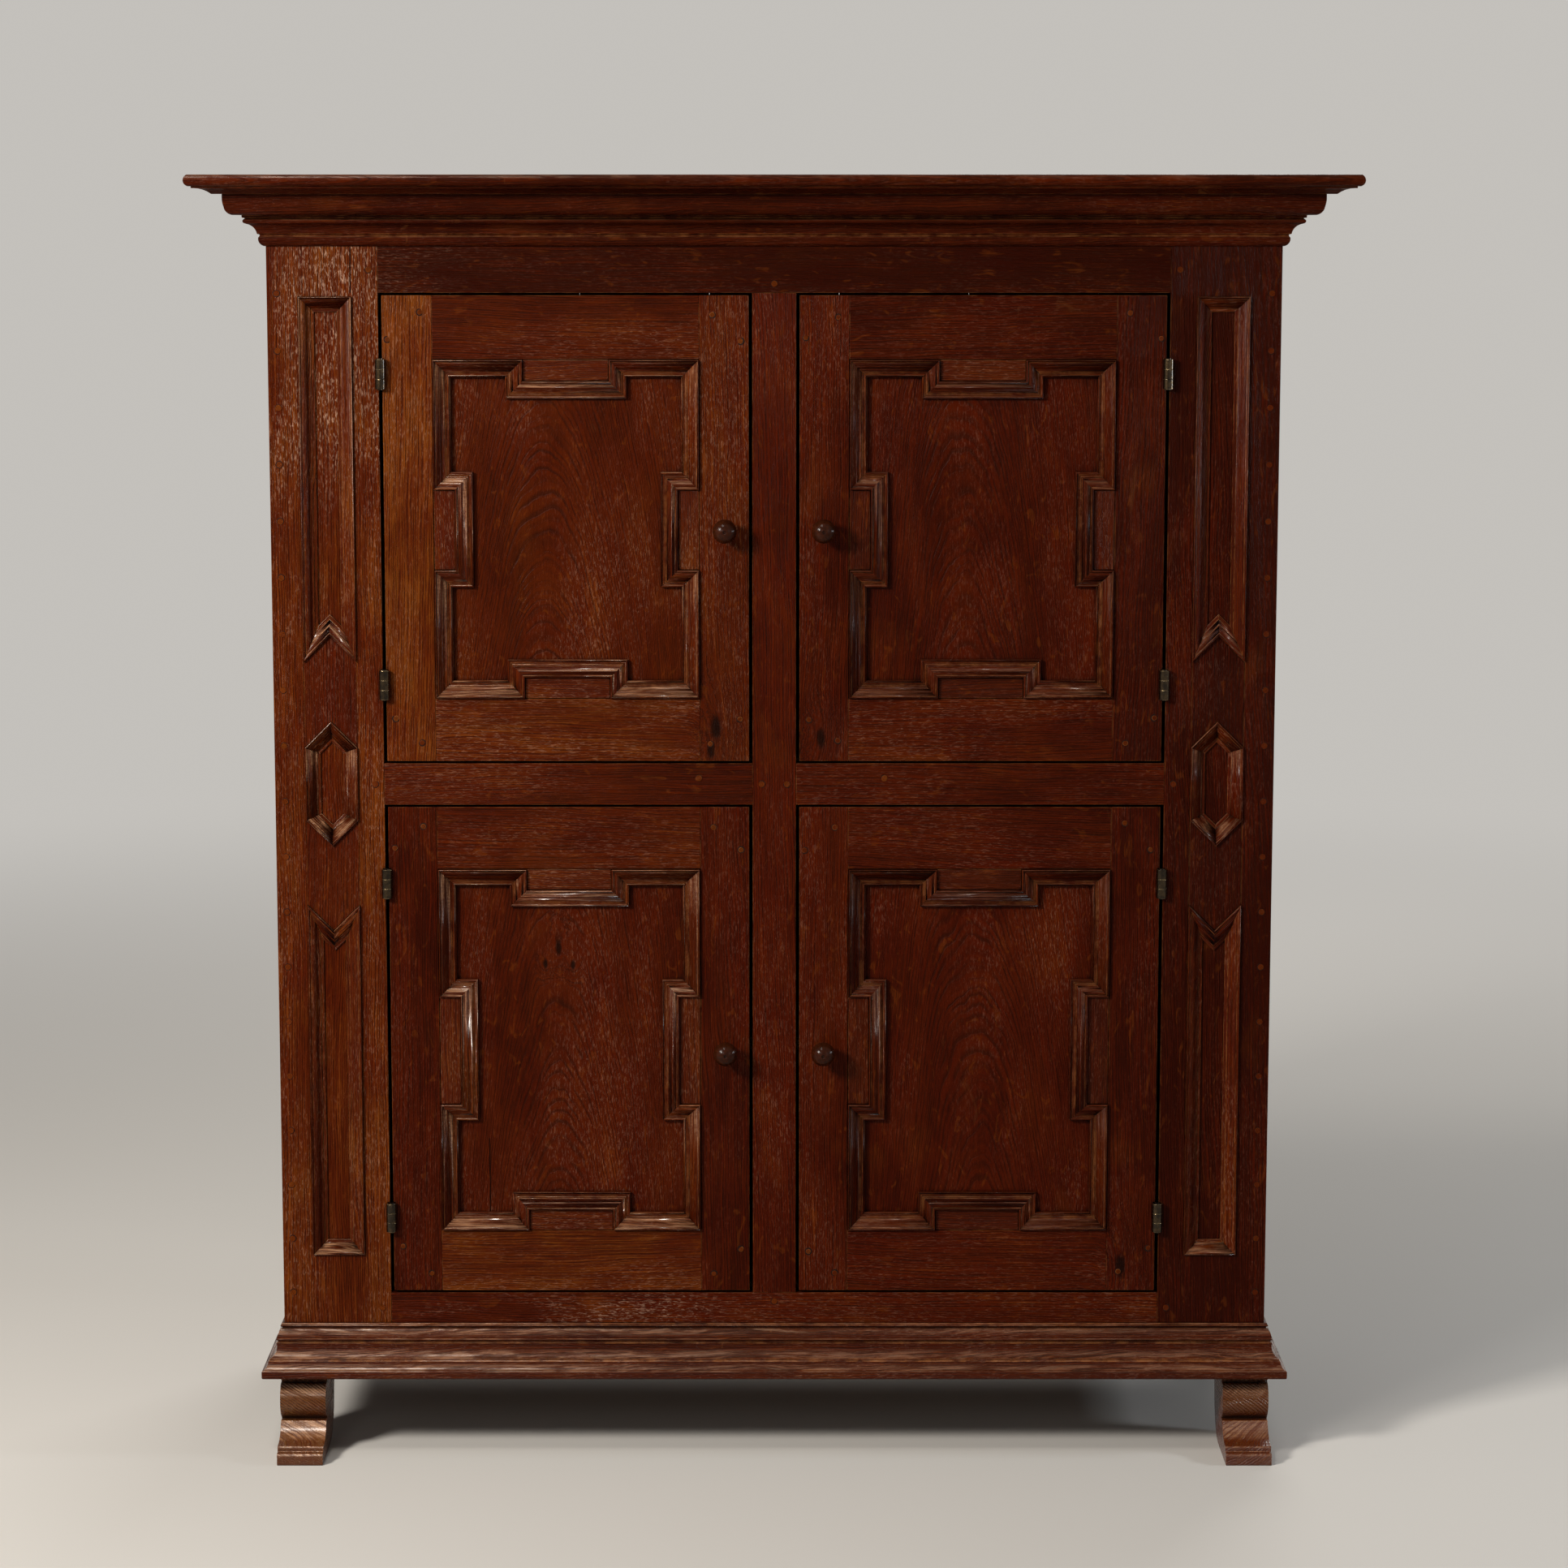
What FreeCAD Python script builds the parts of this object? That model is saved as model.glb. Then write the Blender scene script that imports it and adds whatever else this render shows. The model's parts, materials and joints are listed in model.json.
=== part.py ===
import FreeCAD, Part
import os
from FreeCAD import Vector

# A four-door oak linen press: a framed front with moulded pilasters, framed sides, a boarded back,
# shelves, a deep cornice, a base moulding and scrolled front feet.
# Frame: X to the right, Y to the back, Z up. The origin is on the floor, in the middle of the plan.
# All sizes are millimetres.

# Carcass, from the floor up
FOOT_HEIGHT = 111.0
BOTTOM_RAIL_HEIGHT = 114.0
LOWER_OPENING_HEIGHT = 671.0
MIDDLE_RAIL_HEIGHT = 56.0
UPPER_OPENING_HEIGHT = 624.0
TOP_RAIL_HEIGHT = 129.0
SLAB_THICKNESS = 25.0
CARCASS_WIDTH = 1334.0
CARCASS_DEPTH = 520.0

# Front frame
FRAME_THICKNESS = 28.0
STILE_WIDTH = 146.0
MUNTIN_WIDTH = 58.0
TENON_THICKNESS = 9.0
TENON_LENGTH = 40.0
MUNTIN_TENON_LENGTH = 24.0
TENON_SHOULDER = 11.0

# Framed sides
SIDE_THICKNESS = 30.0
POST_WIDTH = 70.0
SIDE_TENON_LENGTH = 32.0
SIDE_PANEL_THICKNESS = 10.0
GROOVE_DEPTH = 8.0
GROOVE_CLEARANCE = 0.1

# Boarded back
BACK_BOARD_THICKNESS = 12.0
BACK_BOARD_COUNT = 7
BACK_BOARD_GAP = 0.8
BACK_REBATE_WIDTH = 15.0
BACK_RAIL_THICKNESS = 24.0
BACK_RAIL_HEIGHT = 90.0

# Inner boards
BOARD_THICKNESS = 18.0
STOP_LAP = 8.0
STOP_CLEARANCE = 0.5
BOARD_END_CLEARANCE = 0.5
SHELF_SETBACK = 72.0
BEARER_WIDTH = 20.0
BEARER_HEIGHT = 25.0
SHELF_HEIGHT_SHARE = 0.5

# Doors
DOOR_GAP = 3.0
DOOR_SIDE_GAP = 4.5
DOOR_STILE_WIDTH = 65.5
DOOR_RAIL_HEIGHT = 84.0
DOOR_TENON_LENGTH = 46.0
DOOR_PANEL_THICKNESS = 10.0
PANEL_SINK = 10.0

# Door moulding: a mitred run that steps in at the middle of each side, round a flat tablet
MOULDING_WIDTH = 23.0
MOULDING_PROUD = 5.0
MOULDING_MARGIN = 0.8
TAB_STEP = 28.0
TAB_LENGTH = 114.0
UPPER_SIDE_TAB_LENGTH = 107.0
LOWER_SIDE_TAB_LENGTH = 148.0

# Pilasters on the front stiles
PILASTER_WIDTH = 70.0
PILASTER_MOULDING_WIDTH = 20.0
PILASTER_SINK = 8.0
PILASTER_PROUD = 4.0
PILASTER_OFFSET = 76.0
PILASTER_TOP_DROP = 5.0
PILASTER_BOTTOM_RISE = 53.0
HEXAGON_HEIGHT = 168.0
CHEVRON_GAP = 115.0

# Butt hinges
HINGE_LENGTH = 39.0
HINGE_INSET = 103.0
HINGE_AXIS_OUT = 5.0
BARREL_RADIUS = 7.0
BARREL_CLEARANCE = 0.5
KNUCKLE_GAP = 0.4
LEAF_THICKNESS = 2.0
LEAF_WIDTH = 28.0
PIN_RADIUS = 2.5
PIN_CLEARANCE = 0.05
PIN_HEAD_RADIUS = 3.6
PIN_HEAD_HEIGHT = 1.2

# Turned knob, its spindle and the turn button inside the door
KNOB_RADIUS = 16.0
KNOB_REACH = 39.0
KNOB_CENTRE_REACH = 24.0
KNOB_NECK_RADIUS = 7.6
KNOB_NECK_REACH = 8.5
KNOB_COLLAR_RADIUS = 11.0
KNOB_COLLAR_THICKNESS = 3.0
KNOB_DIMPLE_RADIUS = 2.2
KNOB_DIMPLE_DEPTH = 1.2
KNOB_INSET = 32.0
SPINDLE_RADIUS = 6.5
SPINDLE_CLEARANCE = 0.06
SPINDLE_END = 3.0
SEAT_CLEARANCE = 0.3
BUTTON_LENGTH = 56.0
BUTTON_WIDTH = 26.0
BUTTON_TIP_WIDTH = 20.0
BUTTON_THICKNESS = 13.0

# Cornice, base and feet
CORNICE_OVERHANG = 94.0
CROWN_HEIGHT = 68.0
CROWN_PROJECTION = 50.0
BASE_HEIGHT = 72.0
BASE_PROJECTION = 29.0
FOOT_WIDTH = 62.0
FOOT_SIDE_LAP = 6.5
FOOT_TOE = 60.0
FOOT_DEPTH = 180.0
REAR_FOOT_DEPTH = 90.0

# Oak pegs
PEG_RADIUS = 4.0
PEG_CLEARANCE = 0.05
PEG_PROUD = 0.6
PEG_INSET = 12.0
TRENAIL_LENGTH = 44.0
TRENAIL_PITCH = 75.0
TRENAIL_INSET = 13.0

# Sections, as shares: (across, up) for a straight line, or (across, up, bow) for an arc whose rise is
# that share of its chord, to the left of the way it runs.
CROWN_SHARES = [
    (0.00, 0.00), (0.03, 0.00), (0.17, 0.17, -0.20), (0.14, 0.195), (0.14, 0.225), (0.20, 0.235),
    (0.45, 0.43, 0.16), (0.48, 0.44), (0.48, 0.525, -0.45), (0.48, 0.54), (0.55, 0.55), (0.55, 0.595),
    (0.76, 0.60), (0.96, 0.75, -0.16), (1.00, 0.97, -0.05), (1.00, 1.00), (0.00, 1.00),
]
SLAB_EDGE_SHARES = [
    (0.00, 0.00), (0.66, 0.00), (0.905, 0.30, 0.10), (0.905, 0.40), (0.945, 0.40),
    (1.00, 0.70, -0.156), (0.955, 1.00, -0.13), (0.00, 1.00),
]
BASE_SHARES = [
    (0.00, 0.00), (0.92, 0.00), (1.00, 0.05, -0.20), (1.00, 0.13), (0.95, 0.165, -0.20), (0.90, 0.17),
    (0.71, 0.325, 0.12), (0.66, 0.335), (0.66, 0.365), (0.60, 0.37), (0.36, 0.64, 0.17), (0.28, 0.65),
    (0.28, 0.68), (0.33, 0.69), (0.33, 0.72, -0.35), (0.16, 0.895, -0.10), (0.10, 0.905), (0.10, 0.93),
    (0.15, 0.94), (0.15, 0.965, -0.40), (0.12, 1.00), (0.00, 1.00),
]
MOULDING_SHARES = [
    (0.00, 0.00), (0.00, 0.90), (0.11, 0.90, 0.50), (0.14, 0.85), (0.40, 0.76, 0.14),
    (0.66, 0.55, -0.12), (0.66, 0.48), (0.74, 0.48), (0.76, 0.40), (0.86, 0.40), (1.00, 0.36, 0.40),
    (1.00, 0.00),
]
PILASTER_SHARES = [
    (0.00, 0.00), (0.00, 0.94), (0.13, 0.94, 0.25), (0.17, 0.86), (0.50, 0.62, 0.14),
    (0.78, 0.30, -0.14), (0.78, 0.22), (1.00, 0.18), (1.00, 0.00),
]
# Front foot seen from the side: across from the toe to the heel, up from the floor.
FOOT_SHARES = [
    (0.00, 0.00), (0.00, 0.10), (0.03, 0.145, 0.25), (0.055, 0.15), (0.055, 0.19), (0.075, 0.215, 0.20),
    (0.095, 0.22), (0.30, 0.42, -0.16), (0.36, 0.425), (0.34, 0.46), (0.30, 0.83, 0.24), (0.37, 0.875, 0.14),
    (0.37, 0.905), (0.35, 0.915), (0.35, 0.945, 0.40), (0.37, 0.985), (0.37, 1.00), (1.00, 1.00),
    (0.87, 0.42, -0.06), (0.56, 0.00, 0.18),
]

# Places that follow from the sizes
LOWER_SILL = FOOT_HEIGHT + BOTTOM_RAIL_HEIGHT
LOWER_HEAD = LOWER_SILL + LOWER_OPENING_HEIGHT
UPPER_SILL = LOWER_HEAD + MIDDLE_RAIL_HEIGHT
UPPER_HEAD = UPPER_SILL + UPPER_OPENING_HEIGHT
CARCASS_TOP = UPPER_HEAD + TOP_RAIL_HEIGHT
SIDE_X = CARCASS_WIDTH / 2
INNER_X = SIDE_X - SIDE_THICKNESS
OPENING_X = SIDE_X - STILE_WIDTH
MUNTIN_X = MUNTIN_WIDTH / 2
FRONT = (CORNICE_OVERHANG - CARCASS_DEPTH) / 2
BACK = FRONT + CARCASS_DEPTH
FRAME_BACK = FRONT + FRAME_THICKNESS
BOARD_FRONT = FRAME_BACK + STOP_CLEARANCE
BOARD_BACK = BACK - BACK_BOARD_THICKNESS
TENON_FRONT = FRONT + (FRAME_THICKNESS - TENON_THICKNESS) / 2
TENON_BACK = TENON_FRONT + TENON_THICKNESS
PANEL_FRONT = FRONT + PANEL_SINK
PANEL_BACK = PANEL_FRONT + DOOR_PANEL_THICKNESS
PILASTER_X = SIDE_X - PILASTER_OFFSET
PILASTER_MIDDLE = LOWER_HEAD + MIDDLE_RAIL_HEIGHT / 2
SIDES = {"left": -1, "right": 1}
# Each storey: the sill and head of its opening, and the length of the tablets at the sides of its doors.
STOREYS = {
    "upper": (UPPER_SILL, UPPER_HEAD, UPPER_SIDE_TAB_LENGTH),
    "lower": (LOWER_SILL, LOWER_HEAD, LOWER_SIDE_TAB_LENGTH),
}


# Shapes


def box(corner, opposite):
    """A box between two opposite corners, given in any order."""
    low = [min(a, b) for a, b in zip(corner, opposite)]
    size = [abs(a - b) for a, b in zip(corner, opposite)]
    return Part.makeBox(*size, Vector(*low))


def rod(radius, start, end):
    """A round bar from one point to another."""
    start, end = Vector(*start), Vector(*end)
    return Part.makeCylinder(radius, (end - start).Length, start, end - start)


def prism(corners, direction):
    """A straight-sided solid on a polygon of 3-D corners."""
    points = [Vector(*corner) for corner in corners]
    return Part.Face(Part.makePolygon(points + points[:1])).extrude(direction)


def outline_face(steps, place):
    """A flat face inside a closed outline. Each step is (across, up) or (across, up, bow), and place
    turns (across, up) into a point in space."""
    edges = []
    for here, step in zip(steps, steps[1:] + steps[:1]):
        start, end = place(*here[:2]), place(*step[:2])
        if len(step) == 2:
            edges.append(Part.LineSegment(start, end).toShape())
            continue
        middle_across = (here[0] + step[0]) / 2
        middle_up = (here[1] + step[1]) / 2
        chord = end - start
        square = place(middle_across - (step[1] - here[1]), middle_up + (step[0] - here[0]))
        rise = square - place(middle_across, middle_up)
        rise = rise - chord * (rise.dot(chord) / chord.dot(chord))
        middle = (start + end) / 2 + rise.normalize() * (step[2] * chord.Length)
        edges.append(Part.Arc(start, middle, end).toShape())
    return Part.Face(Part.Wire(edges))


def whole(solid):
    """The solid itself, out of the compound that a boolean operation returns."""
    return solid.Solids[0] if len(solid.Solids) == 1 else solid


def cut(solid, tools):
    """The solid with every tool cut out of it."""
    return whole(solid.cut(Part.makeCompound(tools))) if tools else solid


def offset_corners(corners, distance):
    """The corners of a closed polygon in (x, z) moved inwards, so that its sides shift by a distance."""
    count = len(corners)
    area = sum(
        corners[i][0] * corners[(i + 1) % count][1] - corners[(i + 1) % count][0] * corners[i][1]
        for i in range(count)
    )
    turn = 1 if area > 0 else -1
    lines = []
    for i in range(count):
        start, end = Vector(*corners[i], 0), Vector(*corners[(i + 1) % count], 0)
        along = (end - start).normalize()
        inward = Vector(-along.y, along.x, 0) * turn
        lines.append((start + inward * distance, along, inward))
    moved = []
    for i in range(count):
        before, along_before, inward_before = lines[i - 1]
        after, along_after, _ = lines[i]
        step = (after - before).dot(inward_before) / along_after.dot(inward_before)
        corner = after - along_after * step
        moved.append((corner.x, corner.y))
    return moved, [inward for _, _, inward in lines]


def moulded_frame(corners, seat, width, height, section_shares):
    """Mitred moulding lengths round a polygon in (x, z). They stand on the plane Y = seat, rise by
    height towards the front, and reach inwards from the polygon by width."""
    inner, inwards = offset_corners(corners, width)
    lengths = []
    for i, inward in enumerate(inwards):
        j = (i + 1) % len(corners)
        start, end = Vector(corners[i][0], seat, corners[i][1]), Vector(corners[j][0], seat, corners[j][1])
        across = Vector(inward.x, 0, inward.y) * width
        along = (end - start).normalize() * width
        rise = Vector(0, -height, 0)
        face = outline_face(
            section_shares, lambda u, w: start - along + across * u + rise * w
        )
        run = face.extrude(end - start + along * 2)
        plan = [(x, seat, z) for x, z in (corners[i], corners[j], inner[j], inner[i])]
        lengths.append(whole(run.common(prism(plan, rise))))
    return lengths


def round_three_sides(section_shares, projection, height, foot):
    """The front, left and right lengths of a moulding that runs round the carcass, mitred at the corners."""
    reach = projection
    rise = Vector(0, 0, height)
    front_plan = [
        (-SIDE_X - reach, FRONT - reach, foot), (SIDE_X + reach, FRONT - reach, foot),
        (SIDE_X, FRONT, foot), (-SIDE_X, FRONT, foot),
    ]
    front_face = outline_face(
        section_shares,
        lambda u, w: Vector(-SIDE_X - reach, FRONT - u * projection, foot + w * height),
    )
    front = front_face.extrude(Vector(2 * (SIDE_X + reach), 0, 0)).common(prism(front_plan, rise))
    returns = []
    for side in SIDES.values():
        plan = [
            (side * SIDE_X, FRONT, foot), (side * (SIDE_X + reach), FRONT - reach, foot),
            (side * (SIDE_X + reach), BACK, foot), (side * SIDE_X, BACK, foot),
        ]
        face = outline_face(
            section_shares,
            lambda u, w: Vector(side * (SIDE_X + u * projection), FRONT - reach, foot + w * height),
        )
        run = face.extrude(Vector(0, CARCASS_DEPTH + reach, 0))
        returns.append(whole(run.common(prism(plan, rise))))
    return whole(front), returns


# Pegs


def joint_peg_places():
    """(x, z) of the pegs that lock the tenons of the front frame."""
    top = UPPER_HEAD + (TOP_RAIL_HEIGHT - CROWN_HEIGHT) / 2
    bottom = LOWER_SILL - (BOTTOM_RAIL_HEIGHT - BASE_HEIGHT) / 2
    places = [(0, UPPER_HEAD + PEG_INSET), (0, LOWER_SILL - PEG_INSET)]
    for side in SIDES.values():
        places += [(side * (OPENING_X + PEG_INSET), height) for height in (top, PILASTER_MIDDLE, bottom)]
        places.append((side * (MUNTIN_X - PEG_INSET), PILASTER_MIDDLE))
    return places


def trenail_places():
    """(x, z) of the trenails that hold the front stiles to the side posts."""
    count = int((UPPER_HEAD - LOWER_SILL) / TRENAIL_PITCH)
    first = (UPPER_HEAD + LOWER_SILL - count * TRENAIL_PITCH) / 2
    heights = [first + i * TRENAIL_PITCH for i in range(count + 1)]
    return [(side * (SIDE_X - TRENAIL_INSET), z) for side in SIDES.values() for z in heights]


def peg_rods(radius):
    """All the pegs of the front frame, as rods of one radius."""
    start = FRONT - PEG_PROUD
    rods = [rod(radius, (x, start, z), (x, FRAME_BACK, z)) for x, z in joint_peg_places()]
    end = FRONT + TRENAIL_LENGTH
    return rods + [rod(radius, (x, start, z), (x, end, z)) for x, z in trenail_places()]


def peg_holes():
    return peg_rods(PEG_RADIUS + PEG_CLEARANCE)


# Hinges


def hinge_heights(storey):
    sill, head, _ = STOREYS[storey]
    return [sill + DOOR_GAP + HINGE_INSET, head - DOOR_GAP - HINGE_INSET]


def hinge_axis(side):
    return side * (OPENING_X - DOOR_SIDE_GAP / 2), FRONT - HINGE_AXIS_OUT


def barrel(side, radius, low, high):
    """A round bar on the hinge axis between two heights."""
    x, y = hinge_axis(side)
    return rod(radius, (x, y, low), (x, y, high))


def leaf_plate(side, inner_edge, outward, height):
    """The flat plate of one hinge leaf, let into the edge at inner_edge, on the side that outward gives."""
    _, y = hinge_axis(side)
    return box(
        (inner_edge, y, height - HINGE_LENGTH / 2),
        (inner_edge + outward * LEAF_THICKNESS, y + LEAF_WIDTH, height + HINGE_LENGTH / 2),
    )


def frame_plate(side, height):
    return leaf_plate(side, side * OPENING_X, side, height)


def door_plate(side, height):
    return leaf_plate(side, side * (OPENING_X - DOOR_SIDE_GAP), -side, height)


def barrel_notch(side, height):
    """The room that a hinge barrel needs in the corner of a stile."""
    reach = HINGE_LENGTH / 2 + BARREL_CLEARANCE
    return barrel(side, BARREL_RADIUS + BARREL_CLEARANCE, height - reach, height + reach)


def hinge(side, height):
    """The frame leaf, the door leaf and the pin of one hinge: the frame leaf has the outer knuckles."""
    half, third = HINGE_LENGTH / 2, HINGE_LENGTH / 6
    slack = KNUCKLE_GAP / 2
    outer = [(height - half, height - third - slack), (height + third + slack, height + half)]
    middle = (height - third + slack, height + third - slack)
    room = BARREL_RADIUS + BARREL_CLEARANCE
    bore = barrel(side, PIN_RADIUS + PIN_CLEARANCE, height - half, height + half)
    frame_cut = barrel(side, room, height - third - slack, height + third + slack)
    door_cuts = [
        barrel(side, room, height - half, height - third + slack),
        barrel(side, room, height + third - slack, height + half),
    ]
    frame_leaf = cut(frame_plate(side, height), [frame_cut])
    frame_leaf = frame_leaf.fuse([barrel(side, BARREL_RADIUS, *span) for span in outer])
    door_leaf = cut(door_plate(side, height), door_cuts).fuse(barrel(side, BARREL_RADIUS, *middle))
    pin = barrel(side, PIN_RADIUS, height - half, height + half).fuse([
        barrel(side, PIN_HEAD_RADIUS, height - half - PIN_HEAD_HEIGHT, height - half),
        barrel(side, PIN_HEAD_RADIUS, height + half, height + half + PIN_HEAD_HEIGHT),
    ])
    return cut(frame_leaf, [bore]), cut(door_leaf, [bore]), whole(pin)


# Front frame


def rail_with_tenons(x_low, x_high, z_low, z_high, tenon_low, tenon_high):
    """A front rail between two shoulders, with a tenon of its own length at each end."""
    rail = box((x_low, FRONT, z_low), (x_high, FRAME_BACK, z_high))
    tenon = box(
        (x_low - tenon_low, TENON_FRONT, z_low + TENON_SHOULDER),
        (x_high + tenon_high, TENON_BACK, z_high - TENON_SHOULDER),
    )
    return whole(rail.fuse(tenon))


def front_rails():
    """The rails of the front frame with no peg holes: top, middle left, middle right and bottom."""
    top = rail_with_tenons(
        -OPENING_X, OPENING_X, UPPER_HEAD, CARCASS_TOP, TENON_LENGTH, TENON_LENGTH
    )
    left = rail_with_tenons(
        -OPENING_X, -MUNTIN_X, LOWER_HEAD, UPPER_SILL, TENON_LENGTH, MUNTIN_TENON_LENGTH
    )
    right = rail_with_tenons(
        MUNTIN_X, OPENING_X, LOWER_HEAD, UPPER_SILL, MUNTIN_TENON_LENGTH, TENON_LENGTH
    )
    bottom = rail_with_tenons(
        -OPENING_X, OPENING_X, FOOT_HEIGHT, LOWER_SILL, TENON_LENGTH, TENON_LENGTH
    )
    return {"top": top, "left": left, "right": right, "bottom": bottom}


def muntin_blank():
    """The centre upright, with its tenons into the top and bottom rails."""
    post = box((-MUNTIN_X, FRONT, LOWER_SILL), (MUNTIN_X, FRAME_BACK, UPPER_HEAD))
    tenon = box(
        (-MUNTIN_X + TENON_SHOULDER, TENON_FRONT, LOWER_SILL - TENON_LENGTH),
        (MUNTIN_X - TENON_SHOULDER, TENON_BACK, UPPER_HEAD + TENON_LENGTH),
    )
    return whole(post.fuse(tenon))


def pilaster_outlines(side):
    """Outer corners, in (x, z), of the upper frame, the hexagon and the lower frame of one pilaster."""
    x, half = side * PILASTER_X, PILASTER_WIDTH / 2
    left, right = x - half, x + half
    top, bottom = UPPER_HEAD - PILASTER_TOP_DROP, LOWER_SILL + PILASTER_BOTTOM_RISE
    peak = HEXAGON_HEIGHT / 2
    upper_notch = PILASTER_MIDDLE + peak + CHEVRON_GAP
    lower_notch = PILASTER_MIDDLE - peak - CHEVRON_GAP
    return {
        "upper": [
            (left, top), (right, top), (right, upper_notch - half), (x, upper_notch),
            (left, upper_notch - half),
        ],
        "hexagon": [
            (x, PILASTER_MIDDLE + peak), (right, PILASTER_MIDDLE + peak - half),
            (right, PILASTER_MIDDLE - peak + half), (x, PILASTER_MIDDLE - peak),
            (left, PILASTER_MIDDLE - peak + half), (left, PILASTER_MIDDLE + peak - half),
        ],
        "lower": [
            (left, bottom), (right, bottom), (right, lower_notch + half), (x, lower_notch),
            (left, lower_notch + half),
        ],
    }


def pilaster_strips(side):
    """The two strips let into the pilaster channel, between the hexagon and the frames."""
    outlines = pilaster_outlines(side)
    upper, hexagon, lower = outlines["upper"], outlines["hexagon"], outlines["lower"]
    corners_above = upper[2:] + [hexagon[-1]] + hexagon[:2]
    corners_below = lower[:1:-1] + hexagon[2:-1]
    return [
        prism([(x, FRONT, z) for x, z in corners], Vector(0, PILASTER_SINK, 0))
        for corners in (corners_above, corners_below)
    ]


def front_stile(side, rails):
    """A wide front corner board with its mortises, pilaster channel, hinge seats and peg holes, and the
    strips that lie in the channel."""
    board = box((side * SIDE_X, FRONT, FOOT_HEIGHT), (side * OPENING_X, FRAME_BACK, CARCASS_TOP))
    outlines = pilaster_outlines(side)
    corner, opposite = outlines["upper"][0], outlines["lower"][1]
    channel = box((corner[0], FRONT, corner[1]), (opposite[0], FRONT + PILASTER_SINK, opposite[1]))
    seats = []
    for storey in STOREYS:
        for height in hinge_heights(storey):
            seats += [frame_plate(side, height), barrel_notch(side, height)]
    board = cut(board, list(rails.values()) + [channel] + seats + peg_holes())
    return [board] + pilaster_strips(side)


def pilaster_moulding(side):
    lengths = []
    for corners in pilaster_outlines(side).values():
        lengths += moulded_frame(
            corners, FRONT + PILASTER_SINK, PILASTER_MOULDING_WIDTH,
            PILASTER_SINK + PILASTER_PROUD, PILASTER_SHARES,
        )
    return lengths


# Framed sides


def side_levels():
    """The low and high edges of the three rails of each side."""
    return [(FOOT_HEIGHT, LOWER_SILL), (LOWER_HEAD, UPPER_SILL), (UPPER_HEAD, CARCASS_TOP)]


def side_groove(side, y_low, y_high, z_low, z_high):
    """The slot that takes a side panel, in the middle of the frame's thickness."""
    middle = side * (SIDE_X - SIDE_THICKNESS / 2)
    half = SIDE_PANEL_THICKNESS / 2 + GROOVE_CLEARANCE
    return box((middle - half, y_low, z_low), (middle + half, y_high, z_high))


def panel_levels():
    """The low and high sight edges of the two panels of each side."""
    levels = side_levels()
    return [(levels[0][1], levels[1][0]), (levels[1][1], levels[2][0])]


def side_frame(side):
    """The posts, rails and panels of one side."""
    front_low, front_high = FRAME_BACK, FRAME_BACK + POST_WIDTH
    rear_low, rear_high = BACK - POST_WIDTH, BACK
    middle = side * (SIDE_X - SIDE_THICKNESS / 2)
    half_tenon = TENON_THICKNESS / 2
    rails, grooves, panels = [], [], []
    for low, high in side_levels():
        rail = box((side * SIDE_X, front_high, low), (side * INNER_X, rear_low, high))
        tenon = box(
            (middle - half_tenon, front_high - SIDE_TENON_LENGTH, low + TENON_SHOULDER),
            (middle + half_tenon, rear_low + SIDE_TENON_LENGTH, high - TENON_SHOULDER),
        )
        rails.append(whole(rail.fuse(tenon)))
    for low, high in panel_levels():
        z_low, z_high = low - GROOVE_DEPTH, high + GROOVE_DEPTH
        y_low, y_high = front_high - GROOVE_DEPTH, rear_low + GROOVE_DEPTH
        grooves.append(side_groove(side, y_low, y_high, z_low, z_high))
        half = SIDE_PANEL_THICKNESS / 2
        panels.append(box(
            (middle - half, y_low + GROOVE_CLEARANCE, z_low + GROOVE_CLEARANCE),
            (middle + half, y_high - GROOVE_CLEARANCE, z_high - GROOVE_CLEARANCE),
        ))
    rebate = box(
        (side * INNER_X, BOARD_BACK, FOOT_HEIGHT),
        (side * (INNER_X + BACK_REBATE_WIDTH), BACK, CARCASS_TOP),
    )
    posts = [
        box((side * SIDE_X, front_low, FOOT_HEIGHT), (side * INNER_X, front_high, CARCASS_TOP)),
        box((side * SIDE_X, rear_low, FOOT_HEIGHT), (side * INNER_X, rear_high, CARCASS_TOP)),
    ]
    posts = [cut(posts[0], rails + grooves + peg_holes()), cut(posts[1], rails + grooves + [rebate])]
    return posts, [cut(rail, grooves) for rail in rails], panels


# Back, boards and shelves


def back_boards():
    """Upright boards between the rebates of the rear posts."""
    half = INNER_X + BACK_REBATE_WIDTH
    pitch = 2 * half / BACK_BOARD_COUNT
    slack = BACK_BOARD_GAP / 2
    return [
        box(
            (-half + i * pitch + slack, BOARD_BACK, FOOT_HEIGHT),
            (-half + (i + 1) * pitch - slack, BACK, CARCASS_TOP),
        )
        for i in range(BACK_BOARD_COUNT)
    ]


def back_rails():
    """Two rails between the rear posts, which the back boards are nailed to."""
    front = BOARD_BACK - BACK_RAIL_THICKNESS
    rails = []
    for low in (FOOT_HEIGHT, CARCASS_TOP - BACK_RAIL_HEIGHT):
        rails.append(box((-INNER_X, front, low), (INNER_X, BOARD_BACK, low + BACK_RAIL_HEIGHT)))
    return rails


def board_levels():
    """The top faces of the boards: bottom board, middle board, upper shelf and lower shelf."""
    bottom = LOWER_SILL + STOP_LAP
    middle = UPPER_SILL + STOP_LAP
    return {
        "bottom_board": (bottom, BOARD_FRONT),
        "middle_board": (middle, BOARD_FRONT),
        "shelf_upper": (middle + (UPPER_HEAD - middle) * SHELF_HEIGHT_SHARE, FRONT + SHELF_SETBACK),
        "shelf_lower": (bottom + (LOWER_HEAD - bottom) * SHELF_HEIGHT_SHARE, FRONT + SHELF_SETBACK),
    }


def inner_board(top, front):
    half = INNER_X - BOARD_END_CLEARANCE
    return box((-half, front, top - BOARD_THICKNESS), (half, BOARD_BACK, top))


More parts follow.
